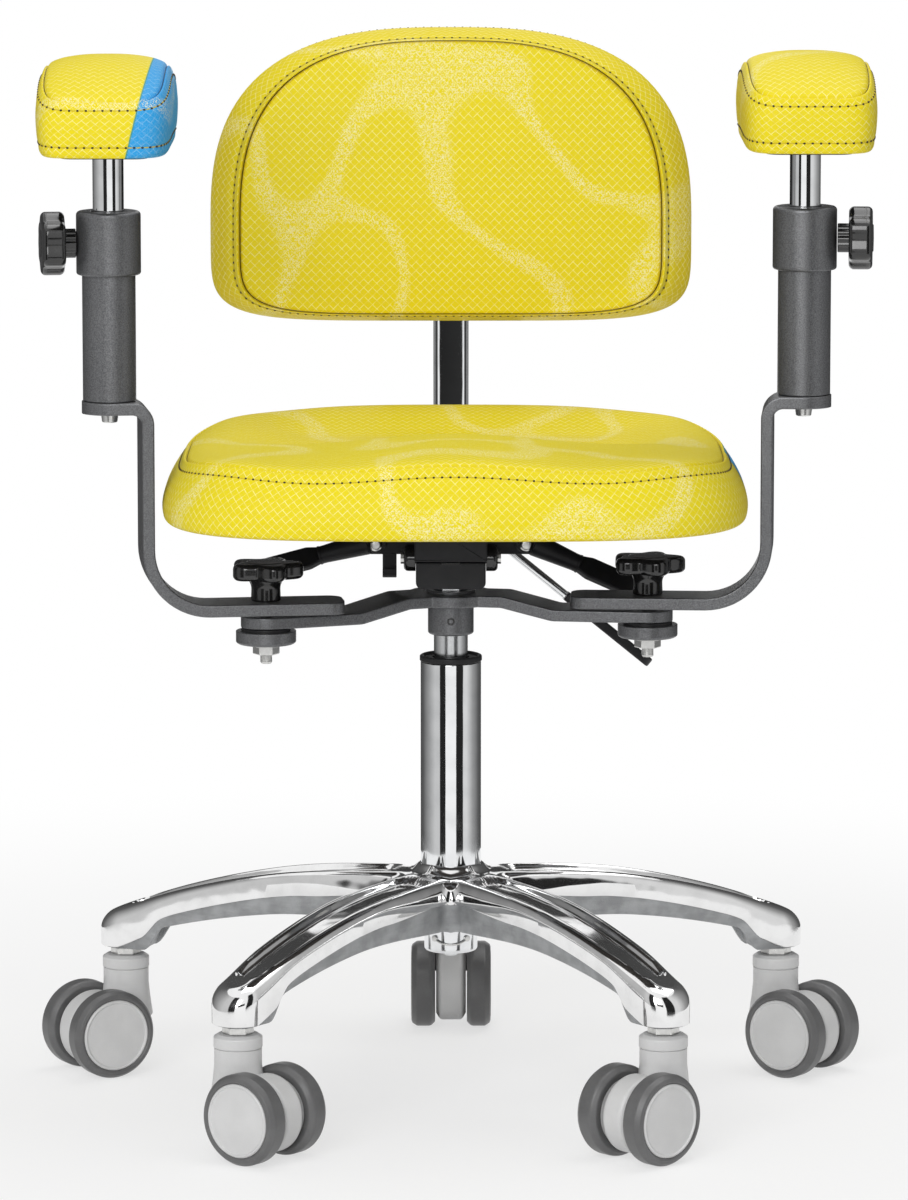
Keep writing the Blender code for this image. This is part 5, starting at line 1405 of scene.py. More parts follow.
@dataclass
class StarBase:
    """The cast five-arm base: pocketed arms that flow into the hub, polished above and raw below."""

    arms: int = 5
    first_deg: float = 90.0
    stem_circle: float = 0.2875
    neck_r: float = 0.0253
    hub_r: float = 0.04
    top_z: float = 0.187
    fall: float = 0.047
    root_half: float = 0.027
    tip_half: float = 0.021
    root_depth: float = 0.0405
    end_depth: float = 0.026
    end_z: float = 0.105
    edge: float = 0.0075
    root_edge: float = 0.0145
    tip_edge: float = 0.0125
    camber: float = 0.0035
    valley: float = 0.009
    pocket_from: float = 0.046
    pocket_to: float = 0.279
    pocket_rim: float = 0.0085
    pocket_depth: float = 0.0055
    polished_h: float = 0.011
    fillet_h: float = 0.007
    fillet_w: float = 0.01
    boss_run: float = 0.018
    boss_drop: float = 0.02
    roof_drop: float = 0.014
    wall_t: float = 0.0104
    sleeve_r: Pair = (0.0249, 0.0365)
    sleeve_z: Pair = (0.1432, 0.18)

    def crest(self, x: Array, y: Array) -> Array:
        """The height of the arched top, with its pocket and the fillet at the column.

        Args:
            x: places along the arm.
            y: places across it.

        Returns:
            The heights there.
        """
        r = np.hypot(x, y)
        run = self.stem_circle - self.hub_r
        z = self.top_z - self.fall * (np.maximum(0.0, x - self.hub_r) / run) ** 2
        z = z - self.camber * np.clip(np.abs(y) / self.side(x), 0.0, 1.2) ** 2 * (1 - ease(x, 0.06, 0.16))
        half = self.side(x) - self.pocket_rim
        ahead = np.maximum(0.0, np.maximum(self.pocket_from + half - x, x - self.pocket_to + half))
        inside = half - (np.abs(y) ** 3 + ahead**3) ** (1 / 3)
        z = z - self.pocket_depth * ease(inside, -0.0006, 0.0055)
        return z + self.fillet_h * (1 - ease(r, self.neck_r, self.neck_r + self.fillet_w)) ** 2

    def share(self, x: Array) -> Array:
        """How far along the arm a place is, from 0 at the hub to 1 at the stem."""
        return np.clip((x - self.hub_r) / (self.stem_circle - self.hub_r), 0.0, 1.0)

    def side(self, x: Array) -> Array:
        """The arm's half width."""
        return self.root_half + (self.tip_half - self.root_half) * self.share(x)

    def rails(self) -> tuple[Array, Array]:
        """The outline of half an arm and the inner points it is joined to.

        Returns:
            Outer and inner points, row by row, from the valley between two arms to the tip.
        """
        half_turn = math.pi / self.arms
        root = self.root_half - 0.0004
        gap = (root + self.valley) / math.sin(half_turn)
        centre = np.array((gap * math.cos(half_turn), gap * math.sin(half_turn)))
        swing = np.linspace(math.pi + half_turn, 1.5 * math.pi, 14)
        valley = centre + self.valley * on_circle(swing)
        x = np.linspace(centre[0], self.stem_circle, 86)[1:]
        flank = np.stack([x, self.side(x)], 1)
        swing = np.linspace(math.pi / 2, 0.0, 16)[1:]
        tip = self.tip_half * on_circle(swing) + (self.stem_circle, 0.0)
        outer = np.vstack([valley, flank, tip])
        fan = 20
        swing = np.linspace(half_turn, 0.0, fan)
        arc = self.neck_r * on_circle(swing)
        rest = len(valley) + len(flank) - fan
        lead = outer[fan - 1, 0] - self.neck_r
        left = (1 - np.linspace(0.0, 1.0, rest + 1)[1:]) ** 2
        axis = np.stack([outer[fan:fan + rest, 0] - lead * left, np.zeros(rest)], 1)
        hub = np.tile((self.stem_circle, 0.0), (len(tip), 1))
        return outer, np.vstack([arc, axis, hub])

    def half_arm(self) -> Shape:
        """One half of an arm with its share of the hub.

        Returns:
            The half.
        """
        outer, inner = self.rails()
        way = outer - inner
        length = np.linalg.norm(way, axis=1, keepdims=True)
        way = way / length
        edge = self.edge + (self.tip_edge - self.edge) * ease(outer[:, :1], 0.235, 0.285)
        edge = edge + (self.root_edge - self.edge) * (1 - ease(outer[:, :1], 0.045, 0.13))
        edge = np.minimum(edge, 0.8 * length)
        columns, zones = [], []

        def add(inset: Array, z: Array, zone: int) -> None:
            """Adds one column, from its inset and height in each row and the finish beside it."""
            columns.append(np.column_stack([outer - way * inset, z]))
            zones.append(zone)

        def over(inset: Array) -> Array:
            """The top's height at an inset."""
            flat = outer - way * inset
            return self.crest(flat[:, 0], flat[:, 1])

        for share in np.linspace(0.0, 1.0, 34):
            inset = length + (edge - length) * share
            add(inset, over(inset), 0)
        for angle in np.linspace(0.0, math.pi / 2, 9)[1:]:
            inset = edge * (1 - math.sin(angle))
            add(inset, over(inset) - edge[:, 0] * (1 - math.cos(angle)), 0)
        top = columns[-1][:, 2] + edge[:, 0]
        low = top - self.root_depth + (self.root_depth - self.end_depth) * self.share(outer[:, 0])
        boss_from = self.stem_circle - self.tip_half
        boss = ease(outer[:, 0], boss_from - self.boss_run, boss_from)
        low = low * (1 - boss) + self.end_z * boss
        polished = self.polished_h * (0.15 + 0.85 * ease(outer[:, 0], 0.05, 0.12))
        ledge = np.maximum(top - edge[:, 0] - polished * (1 - boss) - self.boss_drop * boss, low + 0.0022)
        roof = (top - self.roof_drop) * (1 - boss) + (low + 0.0004) * boss
        thin = np.minimum(1.0, length / 0.01)
        wall = self.wall_t * thin
        add(np.full_like(length, 0.0002), ledge, 0)
        add(0.0008 * thin, ledge - 0.0006, 0)
        add(0.0022 * thin, ledge - 0.0009, 1)
        for share, inset in ((0.06, 0.0026), (0.5, 0.004), (0.94, 0.0054)):
            add(inset * thin, ledge - (ledge - low) * share, 1)
        for inset, z in ((0.0064, low), (0.009, low), (0.01, low + 0.0006)):
            add(inset * thin, z, 1)
        add(wall, roof, 1)
        for share in (0.4, 0.7, 1.0):
            add(wall + (length - wall) * share, roof, 1)
        return grid(np.stack(columns, 1), ring=False, zones=zones)

    def build(self) -> None:
        """Makes the base of ten half arms and the hub's sleeve."""
        half = self.half_arm()
        whole = half + half.moved(Matrix.Diagonal((1.0, -1.0, 1.0, 1.0)))
        turns = [math.radians(self.first_deg) + 2 * math.pi * i / self.arms for i in range(self.arms)]
        star = joined(whole.moved(Matrix.Rotation(turn, 4, "Z")) for turn in turns)
        (inner, outer), (low, top) = self.sleeve_r, self.sleeve_z
        sleeve = turned([
            (inner, top, 0), (inner, low, 0.0005), (0.0345, low, 0.002), (outer, 0.154, 0.002),
            (outer, top, 0)], closed=True).zoned(1)
        piece("star_casting", star + sleeve, [ALUMINIUM, CAST], "base", ["star_base"])


@dataclass
class Caster:
    """One twin-wheel caster: threaded stem with a hex, hooded fork, two tyred wheels."""

    number: int
    wheel_r: float = 0.0369
    wheel_w: float = 0.0208
    hood_r: float = 0.0315
    hood_w: float = 0.0258
    neck_r: float = 0.019
    neck_top: float = 0.0984
    cap_h: float = 0.011
    hex_flats: float = 0.022
    hex_z: Pair = (0.0987, 0.1047)
    stem_r: float = 0.0052
    stem_z: Pair = (0.104, 0.125)

    def wheel(self) -> Shape:
        """A wheel on Z, its outer face up: tyre, rim bead and dished disc.

        Returns:
            The wheel.
        """
        r, half = self.wheel_r, self.wheel_w / 2
        tyre = turned([
            (0.027, -half + 0.0012, 0), (0.0292, -half + 0.0006, 0.0006), (0.033, -half, 0.002),
            (r, -half + 0.004, 0.0045), (r, half - 0.005, 0.003), (0.0342, half - 0.001, 0.0012),
            (0.0318, half, 0.001), (0.03, half - 0.001, 0.0006), (0.0296, half - 0.0022, 0)], 96)
        disc = turned([
            (0.0297, half - 0.0025, 0), (0.0296, half - 0.0008, 0.0004), (0.0284, half + 0.0002, 0.0005),
            (0.0274, half - 0.0001, 0.0004), (0.027, half - 0.0008, 0.0003),
            (0.0262, half - 0.001, 0.0004), (0.012, half - 0.0002, 0.004), (0.0, half, 0)], 96)
        back = turned([
            (0.0, -half + 0.0016, 0), (0.012, -half + 0.0016, 0.001), (0.0271, -half + 0.0014, 0)], 96)
        return tyre + disc.zoned(1) + back.zoned(1)

    def build(self) -> None:
        """Makes the stem, the fork and both wheels."""
        tag = f"caster_{self.number}"
        stem = middle_of(f"{tag}_stem")
        first, second = middle_of(f"{tag}_wheel_a"), middle_of(f"{tag}_wheel_b")
        axle = (first + second) / 2
        across = (first - second).normalized()
        for letter, spot, way in (("a", first, across), ("b", second, -across)):
            shape = self.wheel().moved(aim(spot, way))
            wheel = f"{tag}_wheel_{letter}"
            piece(f"{tag}_tread_{letter}", shape, [TYRE, CASTER], wheel, [wheel])
        half = self.hood_w / 2
        hood = turned([
            (0.0, -half, 0), (0.0255, -half, 0.0015), (self.hood_r, -half + 0.0035, 0.004),
            (self.hood_r, half - 0.0035, 0.004), (0.0255, half, 0.0015), (0.0, half, 0)])
        top, r = self.neck_top, self.neck_r
        line = top - self.cap_h
        neck = turned([
            (0.0, 0.04, 0), (r + 0.0035, 0.046, 0.002), (r + 0.0012, 0.062, 0.006), (r, 0.074, 0.006),
            (r, line - 0.0004, 0.0003), (r - 0.0008, line - 0.0004, 0.0002),
            (r - 0.0008, line + 0.0004, 0.0002), (r + 0.0005, line + 0.0004, 0.0003),
            (r + 0.0005, top - 0.0022, 0.0012), (r - 0.003, top, 0.0008), (0.0, top, 0)])
        fork = hood.moved(aim(axle, across)) + neck.at(stem.x, stem.y)
        piece(f"{tag}_hood", fork, [CASTER], tag, [f"{tag}_fork"])
        nut = prism(hexagon(self.hex_flats), *self.hex_z, 0.0007)
        nut = nut + peg(self.stem_r, *self.stem_z, 0.0003, 0.0005, 32)
        piece(f"{tag}_hex", nut.at(stem.x, stem.y), [ZINC], "base", [f"{tag}_stem"])


@dataclass
class Column:
    """The chrome column with its foot clip and bush, and the gas cylinder that rises from it."""

    tube_r: float = 0.025
    foot_r: float = 0.0225
    foot_z: float = 0.1195
    hub_z: float = 0.188
    top_z: float = 0.3613
    cylinder_r: float = 0.014
    top_r: float = 0.0105
    step_z: float = 0.4196
    tilt_room: float = 0.003
    bore_r: float = 0.016
    socket_r: float = 0.0215
    socket_h: float = 0.03
    clip_z: float = 0.1318
    clip_deg: float = 36.0
    clip_sag: float = 0.0042
    clip_wire_r: float = 0.001
    rivet_z: float = 0.1322

    def build(self) -> None:
        """Makes tube, foot clip, bush ring and cylinder."""
        ledge = self.top_z - self.socket_h
        tube_shape = turned([
            (self.bore_r, self.foot_z, 0.0006), (self.foot_r - 0.0006, self.foot_z, 0.0034),
            (self.foot_r, self.hub_z - 0.004, 0.001), (self.tube_r, self.hub_z - 0.002, 0.0008),
            (self.tube_r, self.top_z, 0.0008), (self.socket_r, self.top_z, 0.0005),
            (self.socket_r, ledge, 0), (self.bore_r, ledge, 0)], 128, True)
        piece("column_sleeve", tube_shape, [CHROME], "base", ["column_tube"])
        swing = np.radians(np.linspace(-self.clip_deg, self.clip_deg, 25))
        sag = self.clip_sag * (1 - (swing / swing[-1]) ** 2)
        r = self.foot_r + 0.0002
        wire = [Vector((r * math.sin(a), -r * math.cos(a), self.clip_z - d)) for a, d in zip(swing, sag)]
        clip = tube(wire, self.clip_wire_r)
        for a in (swing[0], swing[-1]):
            way = Vector((math.sin(a), -math.cos(a), 0.0))
            head = turned([
                (0.0, -0.001, 0), (0.0026, -0.001, 0), (0.0026, 0.0008, 0.0005), (0.0, 0.0012, 0)], 28)
            clip = clip + head.moved(aim(way * r + UP * self.rivet_z, way))
        piece("foot_clip", clip, [ZINC], "base")
        bush = turned([
            (0.0146, 0.34, 0), (0.0212, 0.34, 0), (0.0212, 0.3614, 0.0003), (0.0256, 0.3617, 0.0009),
            (0.0256, 0.366, 0.0013), (0.0236, 0.3668, 0.0006), (0.0222, 0.366, 0.0006),
            (0.0216, 0.3645, 0.0005), (0.015, 0.3648, 0.0004)], 128, True)
        piece("column_ring", bush, [PLASTIC], "base", ["column_bush"])
        low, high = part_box("gas_cylinder")
        top = high.z - self.tilt_room
        rod = turned([
            (0.0, low.z, 0), (self.cylinder_r, low.z, 0.0008), (self.cylinder_r, self.step_z, 0.0008),
            (self.top_r, self.step_z, 0), (self.top_r, top, 0.0008), (0.0, top, 0)], 96)
        piece("lift_cylinder", rod, [STEEL], "carrier", ["gas_cylinder"])


@dataclass
class Crossbar:
    """The swept plate that carries both arm rests, with its hub and collar."""

    plate: float = 0.0095
    half: float = 0.023
    end_r: float = 0.0205
    hub_r: float = 0.035
    top_z: float = 0.4191
    flat: float = 0.046
    slope: float = 0.042
    drop: float = 0.01
    bend_r: float = 0.018
    edge: float = 0.0012
    bore_r: float = 0.0142
    collar_r: float = 0.0188
    collar_z: Pair = (0.3841, 0.4105)
    boss_r: float = 0.02
    boss_h: float = 0.0017
    screw_z: float = 0.3965
    nut_flats: float = 0.024
    nut_h: float = 0.0072
    pivots: tuple[Pair, ...] = ((-0.150078, -0.065256), (0.16091, -0.029823))

    def arm(self, heading: float, skew: float, length: float) -> Shape:
        """One half of the plate, from the hub's middle to its round end.

        Args:
            heading: the direction of the arm.
            skew: the turn of the joint between both halves.
            length: hub to pivot.

        Returns:
            The half.
        """
        last = length + self.end_r
        hub, straight = np.linspace(0.0, self.hub_r, 26), np.linspace(self.hub_r, last - self.end_r, 90)
        tip = last - self.end_r * (1 - np.cos(np.linspace(0.04, math.pi / 2, 14)))
        x = np.concatenate([hub, straight[1:], tip[::-1][1:]])
        lean = skew * (1 - ease(x, 0.0, self.flat))
        bends = rounded([
            (0.0, 0.0, 0), (self.flat, 0.0, self.bend_r),
            (self.flat + self.slope, self.drop, self.bend_r), (last, self.drop, 0)], 6)
        fall = np.interp(x, bends[:, 0], bends[:, 1])
        width = self.half + (self.end_r - self.half) * ease(x, self.flat, length)
        gap = np.clip(x - (last - self.end_r), 0.0, self.end_r)
        arc = np.sqrt(np.maximum(self.end_r**2 - gap**2, 1e-7))
        width = np.minimum(width, arc + (width - self.end_r) * (gap < 1e-6))
        sides = np.stack([-np.sin(lean), np.cos(lean), np.zeros(len(x))], 1)
        reach = []
        for sign in (-1.0, 1.0):
            along = sign * -np.sin(lean) * x
            root = np.sqrt(np.maximum(along**2 - x**2 + self.hub_r**2, 0.0)) - along
            root = np.where(x < self.hub_r, root, 0.0)
            reach.append(np.maximum(root, width / np.cos(lean)))
        spots = np.stack([x, np.zeros(len(x)), self.top_z - self.plate / 2 - fall], 1)
        pitch = np.gradient(fall, x)
        faces = np.stack([np.sin(np.arctan(pitch)), np.zeros(len(x)), np.cos(np.arctan(pitch))], 1)
        shape = ribbon(spots, sides, faces, reach[0], reach[1], self.plate, self.edge)
        return shape.moved(Matrix.Rotation(heading, 4, "Z"))

    def build(self) -> None:
        """Makes both halves, the collar, the boss, the set screw and the nut."""
        headings = [math.atan2(y, x) for x, y in self.pivots]
        length = math.hypot(*self.pivots[0])
        turn = (headings[0] - headings[1]) % (2 * math.pi) - math.pi
        shape = self.arm(headings[0], -turn / 2, length) + self.arm(headings[1], turn / 2, length)
        collar = washer(self.bore_r, self.collar_r, *self.collar_z, (0.0004, 0.0022, 0, 0), 96)
        low, high, outer = self.top_z - 0.003, self.top_z + self.boss_h, self.boss_r
        boss = turned([
            (0.0, low, 0), (outer, low, 0), (outer, high, 0.0005), (self.bore_r, high, 0.0003),
            (self.bore_r, self.top_z - 0.002, 0)], 96)
        piece("arm_yoke", shape + collar + boss, [POWDER], "carrier", ["arm_crossbar"])
        face = aim((0.0, -self.collar_r, self.screw_z), FRONT)
        screw = turned([
            (0.0, -0.001, 0), (0.0016, -0.001, 0.0002), (0.0016, 0.0004, 0.0002),
            (0.0032, 0.0004, 0.0004), (0.0032, -0.0015, 0.0), (0.0, -0.0016, 0)], 24)
        piece("collar_screw", screw.moved(face), [GLOSS], "carrier")
        nut = prism(hexagon(self.nut_flats), self.top_z - 0.0002, self.top_z + self.nut_h, 0.0008)
        piece("collar_nut", nut, [CHROME], "carrier")


@dataclass
class ArmRest:
    """One swinging arm: bent bar, clamp, post with its collar, knobs and height rod."""

    side: str
    pivot: Pair
    heading_deg: float
    plate: float = 0.01
    half: float = 0.0225
    tail: float = 0.063
    tail_corner: float = 0.012
    upright: float = 0.097
    rise: float = 0.1655
    low_bend: float = 0.05
    high_bend: float = 0.013
    post: float = 0.126
    mid_z: float = 0.4161
    threads: int = 7
    edge: float = 0.0013
    post_r: float = 0.0215
    collar_r: float = 0.026
    collar_z: Pair = (0.6888, 0.7399)
    rod_r: float = 0.0125
    stud_low: float = 0.569
    stud_r: float = 0.0072
    bore_r: float = 0.0052
    disc_r: float = 0.0245
    disc_z: Pair = (0.386, 0.3966)
    ring_r: float = 0.02
    nut_flats: float = 0.019
    bolt_r: float = 0.0046
    bolt_z: Pair = (0.3694, 0.4352)
    star_d: float = 0.061
    star_z: Pair = (0.4392, 0.4528)
    knob_d: float = 0.051
    knob_z: float = 0.71415
    grip_d: float = 0.0236

    def bar(self) -> Shape:
        """The bent bar in its place.

        Returns:
            The bar.
        """
        top = self.mid_z + self.rise
        end = self.post + self.half
        corners = [
            (-self.tail, self.mid_z, 0), (self.upright, self.mid_z, self.low_bend),
            (self.upright, top, self.high_bend), (end, top, 0)]
        ends = (self.tail_corner, self.half)
        bar = bent_bar(corners, self.half, self.plate, self.edge, ends, 0.0004, 0.0024, RIGHT, REAR)
        turn = Matrix.Rotation(math.radians(self.heading_deg), 4, "Z")
        return bar.moved(Matrix.Translation((*self.pivot, 0.0)) @ turn)

    def build_bar(self) -> None:
        """The bar, the post's tube and collar, and the stud under the flange."""
        tag = self.side
        spot = middle_of(f"post_tube_{tag}")
        low = self.mid_z + self.rise + self.plate / 2
        foot, outer, (rim, top) = low + 0.0004, self.collar_r, self.collar_z
        post = turned([
            (0.0, foot, 0), (self.post_r, foot, 0.0008), (self.post_r, 0.6884, 0.0003),
            (outer, rim, 0.0028), (outer, top, 0.0032), (0.014, top, 0.0008), (0.014, 0.734, 0),
            (0.0, 0.734, 0)], 112)
        piece(f"arm_{tag}_bend", self.bar(), [POWDER], f"arm_{tag}", [f"arm_bar_{tag}"])
        stud = turned([
            (0.0, self.stud_low, 0), (0.0062, self.stud_low, 0.0012), (self.stud_r, 0.5765, 0.0004),
            (self.stud_r, low - 0.009, 0)], 48)
        shape = (post + stud.zoned(1)).at(spot.x, spot.y)
        piece(f"arm_{tag}_post", shape, [POWDER, ZINC], f"arm_{tag}", [f"post_tube_{tag}"])

    def build_clamp(self, repeat: Repeat) -> None:
        """The friction disc, nut, threaded stud and star knob at the pivot.

        Args:
            repeat: the tree that lays the thread.
        """
        tag = self.side
        x, y = self.pivot
        bore, outer, (low, top) = self.bore_r, self.disc_r, self.disc_z
        disc = turned([
            (bore, low, 0), (0.0225, low, 0.0004), (outer, 0.3872, 0.0022), (outer, top, 0.0005),
            (bore, top, 0)], 112, True)
        ring = washer(bore, self.ring_r, 0.3963, 0.3992, (0, 0.0004, 0.0006, 0), 96)
        piece(f"friction_{tag}", (disc + ring.zoned(1)).at(x, y), [POWDER, PLASTIC], "carrier",
              [f"clamp_disc_{tag}"])
        nut = prism(hexagon(self.nut_flats), 0.3772, 0.3846, 0.0009)
        nut = nut + peg(0.0118, 0.3838, 0.3858, 0.0005, 0.0005, 64)
        outer, (low, top) = self.bolt_r, self.bolt_z
        rod = turned([
            (0.0, low, 0), (0.0042, low, 0.0008), (outer, 0.3712, 0.0003), (outer, top, 0.0006),
            (0.0, top, 0)], 40)
        piece(f"pivot_bolt_{tag}", (nut + rod).at(x, y), [ZINC], "carrier", [f"pivot_stud_{tag}"])
        turns = np.linspace(0.0, self.threads * 2 * math.pi, self.threads * 24)
        helix = np.column_stack([on_circle(turns) * outer + self.pivot, 0.3706 + 0.0066 * turns / turns[-1]])
        repeat.along(f"thread_{tag}", [helix], False, ZINC, "carrier",
                     step=0.0012, shift=0.0, long=0.0019, wide=0.0007, tall=0.0007)
        stem = turned([
            (0.0, 0.4214, 0), (0.0122, 0.4214, 0.001), (0.0118, 0.433, 0.01), (0.015, 0.44, 0)], 80)
        star = prism(lobed(self.star_d, 5, 0.0085, 160), *self.star_z, 0.0042, 6)
        dome = turned([(0.0205, 0.4515, 0), (0.015, 0.4532, 0.006), (0.0, 0.4536, 0)], 80)
        knob = f"star_knob_{tag}"
        piece(f"star_{tag}", (stem + star + dome).at(x, y), [GLOSS], knob, [knob])

    def build_rise(self) -> None:
        """The height rod, the pad plate and the clamp knob on the collar."""
        tag = self.side
        low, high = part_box(f"height_rod_{tag}")
        spot = (low + high) / 2
        rod = peg(self.rod_r, low.z, high.z, 0.0006, 0.0004, 96)
        piece(f"rise_rod_{tag}", rod.at(spot.x, spot.y), [CHROME], f"pad_rod_{tag}", [f"height_rod_{tag}"])
        ring = washer(0.0128, 0.0139, 0.7392, 0.7404, (0, 0, 0.0004, 0.0003), 96)
        piece(f"collar_lip_{tag}", ring.at(spot.x, spot.y), [PLASTIC], f"arm_{tag}")
        low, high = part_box(f"pad_plate_{tag}")
        plate = block(low, high, 0.0008, 0.012)
        piece(f"pad_base_{tag}", plate, [PLASTIC], f"pad_{tag}", [f"pad_plate_{tag}"])
        heading = math.radians(self.heading_deg)
        way = Vector((math.cos(heading), math.sin(heading), 0.0))
        place = aim((spot.x, spot.y, self.knob_z), way)
        knob = prism(lobed(self.knob_d, 6, 0.0035, 144), 0.0356, 0.0548, 0.004, 5)
        hub = prism(lobed(self.grip_d, 12, 0.0012, 192), 0.0265, 0.0362, 0.0006)
        cap = turned([(0.0125, 0.054, 0), (0.0105, 0.0556, 0.0008), (0.0, 0.0558, 0)], 64)
        body = f"clamp_knob_{tag}"
        piece(f"clamp_{tag}", (knob + hub + cap).moved(place), [GLOSS], body, [body])


@dataclass
class Mechanism:
    """The tilt mechanism: lower housing, and upper cradle with wings, lugs, ears and hook."""

    half: float = 0.0285
    front: float = -0.046
    rear: float = 0.078
    low: float = 0.4272
    seam: float = 0.4496
    top: float = 0.4886
    cradle_rear: float = 0.09
    lug_rear: float = 0.112
    lug_front: float = 0.086
    lug_x: Pair = (0.0158, 0.0225)
    lug_z: Pair = (0.4599, 0.4789)
    wing_x: Pair = (0.028, 0.072)
    wing_y: Pair = (0.033, 0.039)
    wing_low: float = 0.445
    ear_r: float = 0.011
    axle: Triple = (0.0, -0.024, 0.4503)
    hook_x: float = -0.0506
    hook_half: float = 0.0058
    hook_t: float = 0.0018

    def shell(self, half: float, low: float, high: float, front: float, rear: float, radius: float) -> Shape:
        """A box of a half width, its lower edges rounded by a radius as seen from the front."""
        spots = [(-half, low, radius), (half, low, radius), (half, high, 0.0015), (-half, high, 0.0015)]
        return prism(rounded(spots, 6, True), 0.0, rear - front, 0.0012).moved(stand_up(rear))

    def pair(self, x: Sequence[float], y: Sequence[float], z: Sequence[float]) -> Shape:
        """Two equal plates, one on each side, from the nearest and farthest of their places."""
        left = block((-x[1], y[0], z[0]), (-x[0], y[1], z[1]), 0.0008)
        return left + block((x[0], y[0], z[0]), (x[1], y[1], z[1]), 0.0008)

    def build(self) -> None:
        """Makes the housing, the cradle and their fittings."""
        housing = self.shell(self.half, self.low, self.seam - 0.0003, self.front, self.rear, 0.0055)
        notch = block((-0.0075, self.front - 0.0004, self.seam - 0.0022),
                      (0.0075, self.front + 0.004, self.seam - 0.0004), 0.0003)
        piece("housing", housing + notch.zoned(1), [PLASTIC, GLOSS], "carrier", ["mechanism_housing"])
        lap = 0.0012
        upper = self.shell(self.half + lap, self.seam + 0.0002, self.top, self.front - lap,
                           self.cradle_rear, lap)
        wings = self.pair(self.wing_x, self.wing_y, (self.wing_low, self.top))
        lugs = self.pair(self.lug_x, (self.lug_front, self.lug_rear), self.lug_z)
        ear = peg(self.ear_r, 0.0288, 0.0384, 0.0004, 0.0034, 56).zoned(1)
        ears = ear.moved(aim(self.axle, -RIGHT)) + ear.moved(aim(self.axle, RIGHT))
        turn = rounded([
            (0.0365, 0.448, 0), (0.0365, 0.4268, 0.0036), (0.0285, 0.4268, 0.0036),
            (0.0285, 0.4334, 0)], 8)
        run = np.gradient(turn, axis=0)
        run = run / np.linalg.norm(run, axis=1, keepdims=True)
        zero, wide = np.zeros(len(turn)), np.full(len(turn), self.hook_half)
        middle = np.stack([zero + self.hook_x, turn[:, 0], turn[:, 1]], 1)
        faces = np.stack([zero, run[:, 1], -run[:, 0]], 1)
        hook = ribbon(middle, np.tile(RIGHT, (len(turn), 1)), faces, wide, wide, self.hook_t, 0.0005)
        piece("cradle", upper + wings + lugs + ears + hook, [PLASTIC, GLOSS], "seat", ["seat_cradle"])


@dataclass
class Levers:
    """Both clamp levers with their bolts, and the lift lever with its handle."""

    bolts: tuple[Triple, ...] = ((-0.062, 0.0227, 0.4579), (0.062, 0.0227, 0.4579))
    names: tuple[str, str] = ("tilt_lever", "back_lever")
    slopes_deg: Pair = (15.0, 24.0)
    sleeve_from: float = 0.007
    sleeve_to: float = 0.049
    paddle_to: float = 0.099
    paddle_half: float = 0.0095
    paddle_t: float = 0.007
    lift_root: Triple = (0.0298, 0.062, 0.4599)
    lift_way: Triple = (0.764, 0.107, -0.636)
    handle_from: float = 0.086
    handle_to: float = 0.178
    blade_turn_deg: float = 50.0
    head_drop: float = 0.0025
    sleeve_root_r: float = 0.0098
    sleeve_r: float = 0.0074
    bead_r: float = 0.0078
    blade_root: float = 0.006
    eye_r: float = 0.0095
    eye_half: float = 0.005
    rod_r: float = 0.0035
    rod_to: float = 0.106
    handle_half: float = 0.0085
    handle_t: float = 0.0078

    def paddle(self, start: float, stop: float, root: float, tip: float, thick: float) -> Shape:
        """A flat blade along Z, narrow at its root, with a round tip.

        Args:
            start: where it starts.
            stop: where it ends.
            root: its half width at the start.
            tip: its half width further on.
            thick: its thickness.

        Returns:
            The blade.
        """
        flare, turn = start + 0.012, tip * 0.9
        spots = [
            (start, -root, 0.001), (flare, -tip, 0.012), (stop, -tip, turn), (stop, tip, turn),
            (flare, tip, 0.012), (start, root, 0.001)]
        lie = Matrix(((0, 0, 1, 0), (0, 1, 0, 0), (1, 0, 0, 0), (0, 0, 0, 1)))
        return prism(rounded(spots, 7, True), -thick / 2, thick / 2, 0.0014).moved(lie)

    def build(self) -> None:
        """Makes all three levers."""
        for sign, name, bolt, slope in zip((-1.0, 1.0), self.names, self.bolts, self.slopes_deg):
            angle = math.radians(slope)
            way = Vector((sign * math.cos(angle), 0.0, -math.sin(angle)))
            place = aim(bolt, way, UP)
            end = self.sleeve_to
            sleeve = turned([
                (0.0, self.sleeve_from, 0), (self.sleeve_root_r, self.sleeve_from, 0.0008),
                (self.sleeve_r, end - 0.006, 0.01), (self.sleeve_r, end - 0.0026, 0.0003),
                (self.bead_r, end - 0.0022, 0.0003), (self.bead_r, end - 0.0006, 0.0004),
                (0.0, end, 0)], 48)
            blade = self.paddle(end - 0.004, self.paddle_to, self.blade_root, self.paddle_half,
                                self.paddle_t)
            blade = blade.moved(Matrix.Rotation(sign * math.radians(self.blade_turn_deg), 4, "Z"))
            eye = peg(self.eye_r, -self.eye_half, self.eye_half, 0.0008, 0.0008, 48).moved(aim(bolt, FRONT))
            front = aim(Vector(bolt) - UP * self.head_drop, FRONT)
            head = turned([
                (0.0, 0.0046, 0), (0.0052, 0.0046, 0.0002), (0.0056, 0.0062, 0.0008),
                (0.004, 0.0086, 0.0016), (0.0, 0.0094, 0)], 40).moved(front).zoned(1)
            piece(f"{name}_arm", (sleeve + blade).moved(place) + eye + head, [PLASTIC, ZINC], name, [name])
        way = Vector(self.lift_way).normalized()
        root = Vector(self.lift_root)
        rod = tube([root + way * t for t in np.linspace(0.002, self.rod_to, 12)], self.rod_r)
        piece("lift_rod", rod, [CHROME], "lift_lever", ["lift_lever_rod"])
        handle = self.paddle(self.handle_from, self.handle_to, self.blade_root, self.handle_half,
                             self.handle_t).moved(aim(root, way, UP))
        piece("lift_handle", handle, [PLASTIC], "lift_lever", ["lift_lever_handle"])


